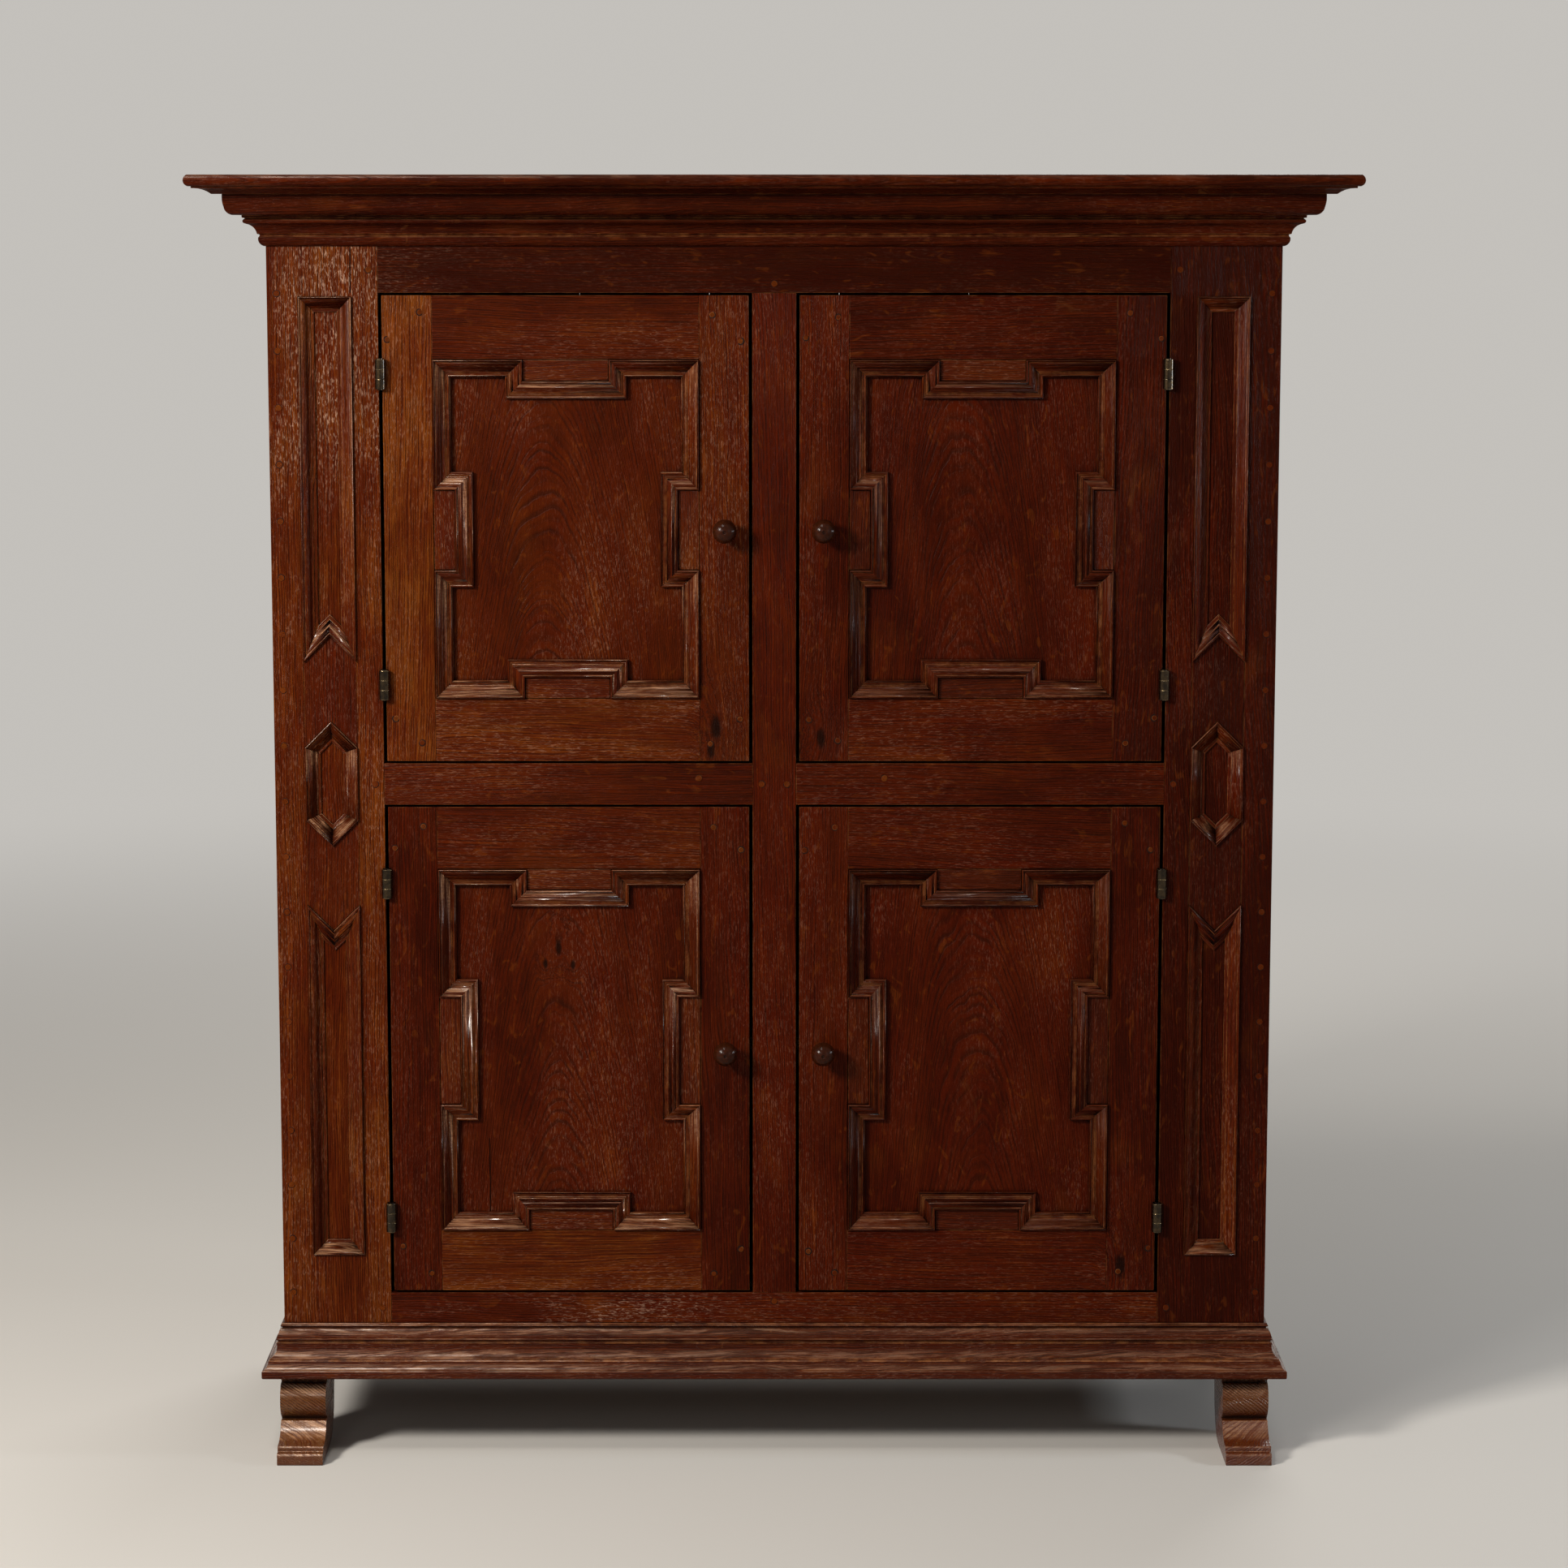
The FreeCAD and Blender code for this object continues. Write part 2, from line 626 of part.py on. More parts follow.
def bearers():
    """A batten on each side under each board."""
    solids = []
    for top, _ in board_levels().values():
        high = top - BOARD_THICKNESS
        for side in SIDES.values():
            solids.append(box(
                (side * INNER_X, FRONT + SHELF_SETBACK, high - BEARER_HEIGHT),
                (side * (INNER_X - BEARER_WIDTH), BOARD_BACK - BACK_RAIL_THICKNESS, high),
            ))
    return solids


# Cornice and feet


def cornice_slab():
    """The top board, with a moulded edge on the front and both sides."""
    far = CARCASS_WIDTH + CORNICE_OVERHANG
    rise = SLAB_THICKNESS

    def edged(place, along):
        shares = SLAB_EDGE_SHARES + [(-far / CORNICE_OVERHANG, 1.0), (-far / CORNICE_OVERHANG, 0.0)]
        return outline_face(shares, place).extrude(along)

    slab = box(
        (-SIDE_X - CORNICE_OVERHANG, FRONT - CORNICE_OVERHANG, CARCASS_TOP),
        (SIDE_X + CORNICE_OVERHANG, BACK, CARCASS_TOP + rise),
    )
    slab = slab.common(edged(
        lambda u, w: Vector(-far, FRONT - u * CORNICE_OVERHANG, CARCASS_TOP + w * rise), Vector(2 * far, 0, 0)
    ))
    for side in SIDES.values():
        slab = slab.common(edged(
            lambda u, w: Vector(
                side * (SIDE_X + u * CORNICE_OVERHANG), FRONT - far, CARCASS_TOP + w * rise
            ),
            Vector(0, 2 * far, 0),
        ))
    return whole(slab)


def front_foot(side):
    """A scrolled foot, sawn from one block, with its toe towards the front."""
    outer = side * (SIDE_X + FOOT_SIDE_LAP)
    face = outline_face(
        FOOT_SHARES,
        lambda u, w: Vector(outer, FRONT - FOOT_TOE + u * FOOT_DEPTH, w * FOOT_HEIGHT),
    )
    return face.extrude(Vector(-side * FOOT_WIDTH, 0, 0))


def rear_foot(side):
    """A plain block under the rear post."""
    outer = side * (SIDE_X + FOOT_SIDE_LAP)
    return box((outer, BACK - REAR_FOOT_DEPTH, 0), (outer - side * FOOT_WIDTH, BACK, FOOT_HEIGHT))


# Doors


def door_moulding_corners(left, right, low, high, side_tab):
    """Outer corners, in (x, z), of a rectangle that steps in at the middle of each side."""
    x, z = (left + right) / 2, (low + high) / 2
    half_tab, half_side = TAB_LENGTH / 2, side_tab / 2
    return [
        (left, low), (x - half_tab, low), (x - half_tab, low + TAB_STEP), (x + half_tab, low + TAB_STEP),
        (x + half_tab, low), (right, low), (right, z - half_side), (right - TAB_STEP, z - half_side),
        (right - TAB_STEP, z + half_side), (right, z + half_side), (right, high), (x + half_tab, high),
        (x + half_tab, high - TAB_STEP), (x - half_tab, high - TAB_STEP), (x - half_tab, high),
        (left, high), (left, z + half_side), (left + TAB_STEP, z + half_side),
        (left + TAB_STEP, z - half_side), (left, z - half_side),
    ]


def tablets(left, right, low, high, side_tab):
    """The flat blocks that fill the steps of the moulding, level with the door's frame."""
    x, z = (left + right) / 2, (low + high) / 2
    half_tab, half_side = TAB_LENGTH / 2 - MOULDING_MARGIN, side_tab / 2 - MOULDING_MARGIN
    depth = TAB_STEP - MOULDING_MARGIN
    spans = [
        (x - half_tab, x + half_tab, low, low + depth),
        (x - half_tab, x + half_tab, high - depth, high),
        (left, left + depth, z - half_side, z + half_side),
        (right - depth, right, z - half_side, z + half_side),
    ]
    return [box((a, FRONT, c), (b, PANEL_FRONT, d)) for a, b, c, d in spans]


def knob_place(side, storey):
    sill, head, _ = STOREYS[storey]
    return side * (MUNTIN_X + DOOR_SIDE_GAP + KNOB_INSET), (sill + head) / 2


def door(side, storey):
    """The stiles, rails, panel and moulding of one door."""
    sill, head, side_tab = STOREYS[storey]
    low, high = sill + DOOR_GAP, head - DOOR_GAP
    hinge_edge, lock_edge = side * (OPENING_X - DOOR_SIDE_GAP), side * (MUNTIN_X + DOOR_SIDE_GAP)
    edges = sorted((hinge_edge, lock_edge))
    left, right = edges[0] + DOOR_STILE_WIDTH, edges[1] - DOOR_STILE_WIDTH
    sight_low, sight_high = low + DOOR_RAIL_HEIGHT, high - DOOR_RAIL_HEIGHT

    groove = box(
        (left - GROOVE_DEPTH, PANEL_FRONT, sight_low - GROOVE_DEPTH),
        (right + GROOVE_DEPTH, PANEL_BACK, sight_high + GROOVE_DEPTH),
    )
    panel = box(
        (left - GROOVE_DEPTH + GROOVE_CLEARANCE, PANEL_FRONT, sight_low - GROOVE_DEPTH + GROOVE_CLEARANCE),
        (right + GROOVE_DEPTH - GROOVE_CLEARANCE, PANEL_BACK, sight_high + GROOVE_DEPTH - GROOVE_CLEARANCE),
    )
    rails = []
    for rail_low, rail_high in ((low, sight_low), (sight_high, high)):
        rail = box((left, FRONT, rail_low), (right, FRAME_BACK, rail_high))
        tenon = box(
            (left - DOOR_TENON_LENGTH, PANEL_FRONT, rail_low + TENON_SHOULDER),
            (right + DOOR_TENON_LENGTH, PANEL_BACK, rail_high - TENON_SHOULDER),
        )
        rails.append(whole(rail.fuse(tenon)))

    knob_x, knob_z = knob_place(side, storey)
    bore = rod(SPINDLE_RADIUS + SPINDLE_CLEARANCE, (knob_x, FRONT, knob_z), (knob_x, FRAME_BACK, knob_z))
    seats = []
    for height in hinge_heights(storey):
        seats += [door_plate(side, height), barrel_notch(side, height)]
    stiles = [
        box((edges[0], FRONT, low), (left, FRAME_BACK, high)),
        box((right, FRONT, low), (edges[1], FRAME_BACK, high)),
    ]
    stiles = [cut(stile, rails + [groove, bore] + seats) for stile in stiles]

    field = (
        left + MOULDING_MARGIN, right - MOULDING_MARGIN,
        sight_low + MOULDING_MARGIN, sight_high - MOULDING_MARGIN, side_tab,
    )
    moulding = moulded_frame(
        door_moulding_corners(*field), PANEL_FRONT, MOULDING_WIDTH,
        PANEL_SINK + MOULDING_PROUD, MOULDING_SHARES,
    )
    return {
        "stiles": stiles,
        "rails": [cut(rail, [groove]) for rail in rails],
        "panel": [panel],
        "moulding": moulding + tablets(*field),
    }


def knob(side, storey):
    """A turned knob on a spindle that passes through the lock stile."""
    x, z = knob_place(side, storey)
    inner = FRAME_THICKNESS + SEAT_CLEARANCE + BUTTON_THICKNESS + SPINDLE_END
    neck_bow_share, ball_bow_share, crown_bow_share = 0.16, -0.15, -0.19
    steps = [
        (0, -inner), (SPINDLE_RADIUS, -inner), (SPINDLE_RADIUS, SEAT_CLEARANCE),
        (KNOB_COLLAR_RADIUS, SEAT_CLEARANCE), (KNOB_COLLAR_RADIUS, KNOB_COLLAR_THICKNESS),
        (KNOB_NECK_RADIUS, KNOB_NECK_REACH, neck_bow_share),
        (KNOB_RADIUS, KNOB_CENTRE_REACH, ball_bow_share),
        (KNOB_DIMPLE_RADIUS, KNOB_REACH, crown_bow_share),
        (KNOB_DIMPLE_RADIUS, KNOB_REACH - KNOB_DIMPLE_DEPTH), (0, KNOB_REACH - KNOB_DIMPLE_DEPTH),
    ]
    face = outline_face(steps, lambda r, t: Vector(x + r, FRONT - t, z))
    return face.revolve(Vector(x, FRONT, z), Vector(0, 1, 0), 360)


def turn_button(side, storey):
    """The wooden turn button on the inner end of the spindle. It hangs down here, clear of the muntin."""
    x, z = knob_place(side, storey)
    front = FRAME_BACK + SEAT_CLEARANCE
    half, tip = BUTTON_WIDTH / 2, BUTTON_TIP_WIDTH / 2
    tip_bow_share, head_bow_share = -0.2, -0.5
    steps = [
        (-half, 0, head_bow_share), (-tip, tip - BUTTON_LENGTH),
        (tip, tip - BUTTON_LENGTH, tip_bow_share), (half, 0),
    ]
    face = outline_face(steps, lambda u, w: Vector(x + u, front, z + w))
    button = face.extrude(Vector(0, BUTTON_THICKNESS, 0))
    bore = rod(
        SPINDLE_RADIUS + SPINDLE_CLEARANCE, (x, front, z), (x, front + BUTTON_THICKNESS, z)
    )
    return cut(button, [bore])


# The whole press


def build():
    """Every node's solids by name."""
    nodes = {}
    rails = front_rails()
    muntin = muntin_blank()
    holes = peg_holes()
    nodes["front_top_rail"] = [cut(rails["top"], [muntin] + holes)]
    nodes["front_bottom_rail"] = [cut(rails["bottom"], [muntin] + holes)]
    nodes["front_middle_rails"] = [cut(rails[name], holes) for name in SIDES]
    nodes["front_muntin"] = [cut(muntin, [rails[name] for name in SIDES] + holes)]

    crown_front, crown_returns = round_three_sides(
        CROWN_SHARES, CROWN_PROJECTION, CROWN_HEIGHT, CARCASS_TOP - CROWN_HEIGHT
    )
    base_front, base_returns = round_three_sides(BASE_SHARES, BASE_PROJECTION, BASE_HEIGHT, FOOT_HEIGHT)
    nodes["cornice_top"] = [cornice_slab()]
    nodes["cornice_front"] = [crown_front]
    nodes["cornice_returns"] = crown_returns
    nodes["base_front"] = [base_front]
    nodes["base_returns"] = base_returns
    nodes["rear_feet"] = [rear_foot(side) for side in SIDES.values()]

    nodes["back_boards"] = back_boards()
    nodes["back_rails"] = back_rails()
    for name, (top, front) in board_levels().items():
        nodes[name] = [inner_board(top, front)]
    nodes["shelf_bearers"] = bearers()
    nodes["frame_pegs"] = peg_rods(PEG_RADIUS)

    frame_leaves, pins = [], []
    for word, side in SIDES.items():
        nodes[f"front_stile_{word}"] = front_stile(side, rails)
        nodes[f"pilaster_moulding_{word}"] = pilaster_moulding(side)
        posts, side_rails, panels = side_frame(side)
        nodes[f"side_posts_{word}"] = posts
        nodes[f"side_rails_{word}"] = side_rails
        nodes[f"side_panels_{word}"] = panels
        nodes[f"front_foot_{word}"] = [front_foot(side)]
        for storey in STOREYS:
            name = f"{storey}_{word}"
            for piece, solids in door(side, storey).items():
                nodes[f"door_{name}_{piece}"] = solids
            hinges = [hinge(side, height) for height in hinge_heights(storey)]
            frame_leaves += [frame_leaf for frame_leaf, _, _ in hinges]
            nodes[f"door_{name}_hinge_leaves"] = [door_leaf for _, door_leaf, _ in hinges]
            pins += [pin for _, _, pin in hinges]
            nodes[f"knob_{name}"] = [knob(side, storey)]
            nodes[f"turn_button_{name}"] = [turn_button(side, storey)]
    nodes["hinge_frame_leaves"] = frame_leaves
    nodes["hinge_pins"] = pins
    return nodes


os.makedirs("parts", exist_ok=True)
for node_name, node_solids in build().items():
    shape = node_solids[0] if len(node_solids) == 1 else Part.makeCompound(node_solids)
    shape.exportStep(f"parts/{node_name}.step")
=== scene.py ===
"""Looks of a four-door oak linen press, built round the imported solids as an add-on that runs as a script."""

import json
import math
import random

import bmesh
import bpy
from mathutils import Matrix, Vector

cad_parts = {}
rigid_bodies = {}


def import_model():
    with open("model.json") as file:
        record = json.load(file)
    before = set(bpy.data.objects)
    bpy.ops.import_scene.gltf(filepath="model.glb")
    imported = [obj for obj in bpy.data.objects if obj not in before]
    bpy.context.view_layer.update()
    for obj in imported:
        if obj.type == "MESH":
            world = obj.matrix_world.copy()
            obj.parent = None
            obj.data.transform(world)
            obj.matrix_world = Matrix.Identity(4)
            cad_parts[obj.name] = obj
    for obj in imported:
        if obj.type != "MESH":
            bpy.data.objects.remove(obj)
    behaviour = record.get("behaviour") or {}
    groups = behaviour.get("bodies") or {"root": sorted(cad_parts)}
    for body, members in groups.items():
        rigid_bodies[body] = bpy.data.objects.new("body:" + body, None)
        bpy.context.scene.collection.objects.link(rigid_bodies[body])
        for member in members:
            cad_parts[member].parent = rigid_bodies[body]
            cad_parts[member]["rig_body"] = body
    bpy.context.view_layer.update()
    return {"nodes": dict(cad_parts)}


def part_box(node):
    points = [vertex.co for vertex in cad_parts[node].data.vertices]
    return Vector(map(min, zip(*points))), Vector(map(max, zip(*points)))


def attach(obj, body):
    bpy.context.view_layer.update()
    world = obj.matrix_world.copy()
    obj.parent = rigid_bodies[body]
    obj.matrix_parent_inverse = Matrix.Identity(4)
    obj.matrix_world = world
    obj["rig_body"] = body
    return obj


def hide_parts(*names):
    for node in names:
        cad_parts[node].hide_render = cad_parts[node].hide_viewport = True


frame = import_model()

bl_info = {
    "name": "Oak linen press",
    "version": (1, 0, 0),
    "blender": (4, 5, 0),
    "location": "3D View > Sidebar > Press",
    "description": "Builds the boards, mouldings, fittings and materials of a joined oak linen press",
    "category": "Object",
}

NODES = frame["nodes"]
SIDES = ("left", "right")
DOORS = [f"{storey}_{side}" for storey in ("upper", "lower") for side in SIDES]
X, Y, Z = Vector((1, 0, 0)), Vector((0, 1, 0)), Vector((0, 0, 1))

# The materials by their short names, filled by material().
FINISHES = {}

# How light and how ruddy each board is, in order of place: from left to right, then upwards. Besides each
# board's own tone, the boards on the right and the top rail under the cornice are made darker: painted shade
# where less light falls.
FRAME_TONES = (
    ("front_stile_left", Z, ((0.6, -0.2), (-0.1, 0.1), (-0.2, 0.2))),
    ("front_stile_right", Z, ((-1.7, 0.9), (-1.7, 0.9), (-1.4, 1.0))),
    ("front_muntin", Z, ((-0.3, 0.9),)),
    ("front_top_rail", X, ((-1.7, 0.6),)),
    ("front_middle_rails", X, ((-0.2, 0.1), (-0.6, 0.5))),
    ("front_bottom_rail", X, ((-0.2, 0.3),)),
)
# The same for the stiles, the rails and the panel of each door. Besides their own tones, the right-hand doors
# are made darker: painted shade.
DOOR_TONES = {
    "upper_left": (((1.1, -0.45), (-0.1, -0.1)), ((0.4, -0.3), (-0.25, -0.1)), ((-0.05, -0.1),)),
    "upper_right": (((-0.6, 0.6), (-1.2, 1.0)), ((-0.3, 0.4), (-1.1, 0.7)), ((-0.7, 0.8),)),
    "lower_left": (((-0.7, 0.7), (-0.75, 0.8)), ((0.6, -0.5), (-0.15, 0.1)), ((-0.35, 0.4),)),
    "lower_right": (((-0.4, 0.6), (-0.8, 0.9)), ((-0.2, 0.6), (-0.6, 0.7)), ((-0.4, 0.8),)),
}
# The mouldings of the right-hand doors are darker: painted shade.
DOOR_MOULDING_TONES = {"left": (0.1, -0.2), "right": (-0.55, 0.1)}
PILASTER_TONES = {"left": (0.1, -0.2), "right": (0.0, 0.2)}
CORNICE_TONE = (-0.7, 0.4)
BASE_TONE = (0.0, 0.0)
# Frame pegs right of this place are darker and those left of it lighter: painted shade and painted light.
SHADED_PEGS_FROM = 0.1
LIT_PEG, SHADED_PEG = (0.5, 0.2), (-1.1, 0.2)
# Pegs of the right-hand doors are darker: painted shade.
DOOR_PEG_TONES = {"left": -0.1, "right": -1.0}
# How far the tone of boards without a set tone may lie from the middle one.
TONE_SPREAD, EVEN_SPREAD = 0.45, 0.2

# Marks of the wood, and a painted sheen. Knots, and areas where the ridges get more painted glints: place,
# size and stretch. Open seams: place and half height.
FRONT_FACE, PANEL_FACE = -0.213, -0.203
UPRIGHT = (1.0, 1.0, 0.42)
DOOR_KNOTS = (
    ((-0.078, FRONT_FACE, 1.000), 0.010, UPRIGHT),
    ((-0.084, FRONT_FACE, 0.970), 0.007, UPRIGHT),
    ((0.062, FRONT_FACE, 0.986), 0.008, UPRIGHT),
    ((0.470, FRONT_FACE, 0.262), 0.010, UPRIGHT),
)
PANEL_KNOTS = (
    ((-0.290, PANEL_FACE, 0.699), 0.006, UPRIGHT),
    ((-0.308, PANEL_FACE, 0.678), 0.004, UPRIGHT),
    ((-0.271, PANEL_FACE, 0.676), 0.004, UPRIGHT),
)
STILE_SEAMS = (((-0.557, FRONT_FACE, 1.606), 0.031),)
PANEL_SEAMS = (((-0.3855, PANEL_FACE, 0.385), 0.055),)
SHEEN_AREAS = (
    ((-0.60, FRONT_FACE, 1.62), 0.22, UPRIGHT),
    ((-0.29, FRONT_FACE, 0.205), 0.05, (0.2, 1.0, 1.0)),
)

# Meshes: corners closer than this are one, flatter angles are one face, sharper ones are rounded.
WELD_DISTANCE, WELD_DIGITS = 2e-6, 6
FLAT_ANGLE, SHARP_ANGLE = 0.006, math.radians(32)
# The shortest edge that is rounded, in widths of the rounding.
SHORTEST_EDGE = 3.2
# Angles in degrees below which neighbouring faces are shaded as one curve.
BOARD_SMOOTH, MOULDING_SMOOTH, TURNED_SMOOTH = 42.0, 34.0, 50.0
# Of two opposite directions, the one that points more along this stands for both.
FORWARD = Vector((1.0, 0.1, 0.01))
LEAF_EDGE, PIN_EDGE = 0.0003, 0.0002
# A board's start in its log is anywhere along this length.
LOG_LENGTH = 9.0

# Rings of round heads, from foot to top: share of the radius, and height as a share of how far it stands out.
PEG_RINGS = ((1.0, -1.6), (1.0, 0.45), (0.86, 0.92), (0.45, 1.0))
SCREW_RINGS = ((1.0, -1.0), (1.0, 0.5), (0.86, 1.0))
PEG_SIDES, NAIL_SIDES, SCREW_STEPS = 14, 8, 9
# Pegs of the middle rails and rings of wax, beside a door's pegs: share of the radius and of standing out.
RAIL_PEG_SHARES, WAX_SHARES = (1.2, 1.3), (1.4, 0.25)
# Half the width of a screw's slot, as a share of its radius.
SLOT_SHARE = 0.14

# Places of the small fasteners, in metres. A panel's tongue is what lies in the groove of its frame.
PANEL_TONGUE = 0.008
RAIL_PEGS, RAIL_PEG_HEIGHT = (-0.101, 0.147), 0.932
PEG_FROM_PANEL, PEG_FROM_EDGE = 0.016, 0.010
PEG_NEAR_END, PEG_FAR_END = 0.025, 0.058
PEG_OFF_ACROSS, PEG_OFF_UP = 0.003, 0.004
SCREW_DEPTH, SCREW_BOW, SCREW_PITCH = 0.014, 0.004, 0.0125
BACK_BOARDS, NAIL_SHARE = 7, 0.3
NAIL_INSET, NAIL_SUNK, NAIL_STAGGER, NAIL_PROUD = 0.045, 0.0013, 0.006, 0.0006

# The stage. Lamps: name, place, width, watts and colour, all facing one point.
FLOOR_RADIUS, FLOOR_SIDES = 40.0, 64
FADE_FROM, FADE_TO = 1.6, 6.0
AIR_COLOUR, AIR_STRENGTH = (1.0, 0.98, 0.95, 1), 0.09
LAMP_AIM = Vector((0.0, -0.2, 0.95))
LAMPS = (
    ("key", (-2.8, -2.8, 2.7), 0.8, 222.0, (1.0, 0.95, 0.88)),
    ("over", (-1.0, -2.0, 4.4), 0.7, 42.0, (1.0, 0.95, 0.88)),
    ("front", (-1.5, -4.7, 2.3), 0.8, 9.0, (1.0, 0.96, 0.90)),
    ("fill", (3.4, -4.2, 1.9), 2.4, 12.0, (1.0, 0.98, 0.96)),
    ("rear", (1.5, 4.5, 3.4), 2.4, 120.0, (1.0, 0.98, 0.95)),
    ("side", (3.3, -0.45, 1.45), 0.45, 30.0, (0.88, 0.94, 1.0)),
)
# The camera that fits the photograph: focal length and picture width in pixels, place, and tilt in degrees.
SENSOR_WIDTH, FOCAL_PIXELS, PICTURE_PIXELS = 36.0, 5126.0, 1932.0
CAMERA_SHIFT, CAMERA_PLACE, CAMERA_TILT = 0.0062, (0.0, -5.713, 1.730), 8.335


def colour(name, description, value):
    return bpy.props.FloatVectorProperty(
        name=name, description=description, default=value, size=3, subtype="COLOR", min=0.0, max=1.0
    )


def length(name, description, value):
    return bpy.props.FloatProperty(name=name, description=description, default=value, min=0.0, unit="LENGTH")


class PressSizes(bpy.types.PropertyGroup):
    """Sizes of the finish and of the small pieces."""

    board_edge: length("Board edge", "Rounding of the edges of frame boards", 0.0009)
    moulding_edge: length("Moulding edge", "Rounding of the arrises of mouldings", 0.0006)
    ring_width: length("Ring width", "Distance between growth rings", 0.0028)
    peg_radius: length("Peg radius", "Radius of the pegs in the doors", 0.0036)
    peg_proud: length("Peg proud", "How far the pegs stand out of the wood", 0.0006)
    screw_radius: length("Screw radius", "Radius of the hinge screw heads", 0.0033)
    screw_proud: length("Screw proud", "How far the screw heads stand out of the hinge leaves", 0.0005)
    nail_radius: length("Nail radius", "Radius of the nail heads in the back", 0.0045)


class PressColours(bpy.types.PropertyGroup):
    """Colours of the oak, the fittings and the stage."""

    oak_dark: colour("Oak, dark", "Pores and dark grain lines", (0.017, 0.0027, 0.0005))
    oak_mid: colour("Oak, middle", "Main colour of the waxed oak", (0.056, 0.0070, 0.0008))
    oak_light: colour("Oak, light", "Light grain bands", (0.134, 0.0290, 0.0032))
    worn: colour("Worn edge", "Rubbed edges and high spots", (0.235, 0.086, 0.024))
    # Painted highlight: the light caught by the upward slopes of the mouldings, the base and the feet.
    ledge: colour("Ledge", "Polished upper faces of the mouldings", (0.45, 0.235, 0.12))
    # Painted highlight: glints of light on the ridges of the grain.
    glint: colour("Ridge glint", "Short bright ridges of the grain", (0.37, 0.225, 0.155))
    # Also the colour of the painted shade in corners and creases.
    grime_and_shade: colour("Grime and Shade", "Old wax and dust in the corners", (0.006, 0.0018, 0.0008))
    inside: colour("Inside oak", "Dry oak of the inside and the back", (0.175, 0.098, 0.050))
    knob: colour("Knob", "Dark polished wood of the knobs", (0.017, 0.0036, 0.0009))
    metal: colour("Hinge metal", "Darkened brass of the hinges", (0.052, 0.031, 0.012))
    metal_bright: colour("Hinge metal, rubbed", "Bright edges of the hinges", (0.52, 0.38, 0.20))
    iron: colour("Iron", "Nails in the back", (0.07, 0.06, 0.055))
    iron_bright: colour("Iron, rubbed", "Bright edges of the nails", (0.25, 0.22, 0.20))
    floor: colour("Floor", "Pale studio floor", (0.55, 0.53, 0.50))


def sizes():
    return bpy.context.scene.press_sizes


def colours():
    return bpy.context.scene.press_colours


def rgba(tint):
    return (*tint, 1.0)


def scaled(tint, factor):
    """A lighter or darker tint."""
    return tuple(min(1.0, channel * factor) for channel in tint)


# Node trees


def feed(tree, node, inputs):
    """Links or sets a node's inputs, by name or index."""
    for key, value in inputs.items():
        if isinstance(value, bpy.types.NodeSocket):
            tree.links.new(value, node.inputs[key])
        else:
            node.inputs[key].default_value = value


def put(tree, kind, inputs=None, **settings):
    """Adds a shader node, sets its properties and feeds its inputs."""
    node = tree.nodes.new("ShaderNode" + kind)
    for key, value in settings.items():
        setattr(node, key, value)
    feed(tree, node, inputs or {})
    return node


def use(tree, name, inputs):
    """Adds a node group and feeds its inputs. Returns its outputs."""
    return put(tree, "Group", inputs, node_tree=bpy.data.node_groups[name]).outputs


def calc(tree, operation, *values, clamp=False):
    """One step of arithmetic."""
    return put(tree, "Math", dict(enumerate(values)), operation=operation, use_clamp=clamp).outputs[0]


def times(tree, product, *factors):
    for factor in factors:
        product = calc(tree, "MULTIPLY", product, factor)
    return product


def plus(tree, base, value, gain, clamp=False):
    """Adds a value times its gain to the base."""
    return calc(tree, "MULTIPLY_ADD", value, gain, base, clamp=clamp)


def swing(tree, value):
    """How far a value lies from one half."""
    return calc(tree, "SUBTRACT", value, 0.5)


def remap(tree, value, low, high, to_low=0.0, to_high=1.0):
    """Maps low..high to to_low..to_high with soft ends."""
    inputs = {0: value, 1: low, 2: high, 3: to_low, 4: to_high}
    return put(tree, "MapRange", inputs, interpolation_type="SMOOTHSTEP").outputs[0]


def blend(tree, factor, first, second, mode="MIX"):
    """Mixes two colours."""
    return put(tree, "Mix", {0: factor, 6: first, 7: second}, data_type="RGBA", blend_type=mode).outputs[2]


def between(tree, operation, *vectors):
    """One step of vector arithmetic. Returns the outputs: the vector, then the value."""
    return put(tree, "VectorMath", dict(enumerate(vectors)), operation=operation).outputs


def part_of(tree, vector, index):
    """One of the three numbers of a vector."""
    return put(tree, "SeparateXYZ", {0: vector}).outputs[index]


def joined(tree, *parts):
    """A vector of three numbers."""
    return put(tree, "CombineXYZ", dict(enumerate(parts))).outputs[0]


def noise(tree, vector, scale, detail=2.0, roughness=0.5, distortion=0.0):
    """Cloudy values. The scale is one number, or three to stretch the clouds."""
    if isinstance(scale, tuple):
        vector = between(tree, "MULTIPLY", vector, scale)[0]
        scale = 1.0
    inputs = {
        "Vector": vector, "Scale": scale, "Detail": detail, "Roughness": roughness, "Distortion": distortion,
    }
    return put(tree, "TexNoise", inputs).outputs[0]


def sheltered(tree, reach):
    """How open a spot is: low in corners whose sides are within reach."""
    return put(tree, "AmbientOcclusion", {"Distance": reach}, samples=4).outputs["AO"]


def emboss(tree, shader, height, depth):
    """Raises the surface of a material by a height."""
    bump = put(tree, "Bump", {"Strength": 1.0, "Distance": depth, "Height": height})
    feed(tree, shader, {"Normal": bump.outputs[0]})


def group(name, inputs, outputs):
    """An empty node group with the given sockets, as name to (kind, default) and name to kind. Returns the
    tree, the sockets of what it is given, and its output node."""
    tree = bpy.data.node_groups.new(name, "ShaderNodeTree")
    for title, (kind, default) in inputs.items():
        socket = tree.interface.new_socket(title, in_out="INPUT", socket_type="NodeSocket" + kind)
        if default is not None:
            socket.default_value = default
    for title, kind in outputs.items():
        tree.interface.new_socket(title, in_out="OUTPUT", socket_type="NodeSocket" + kind)
    return tree, tree.nodes.new("NodeGroupInput").outputs, tree.nodes.new("NodeGroupOutput")


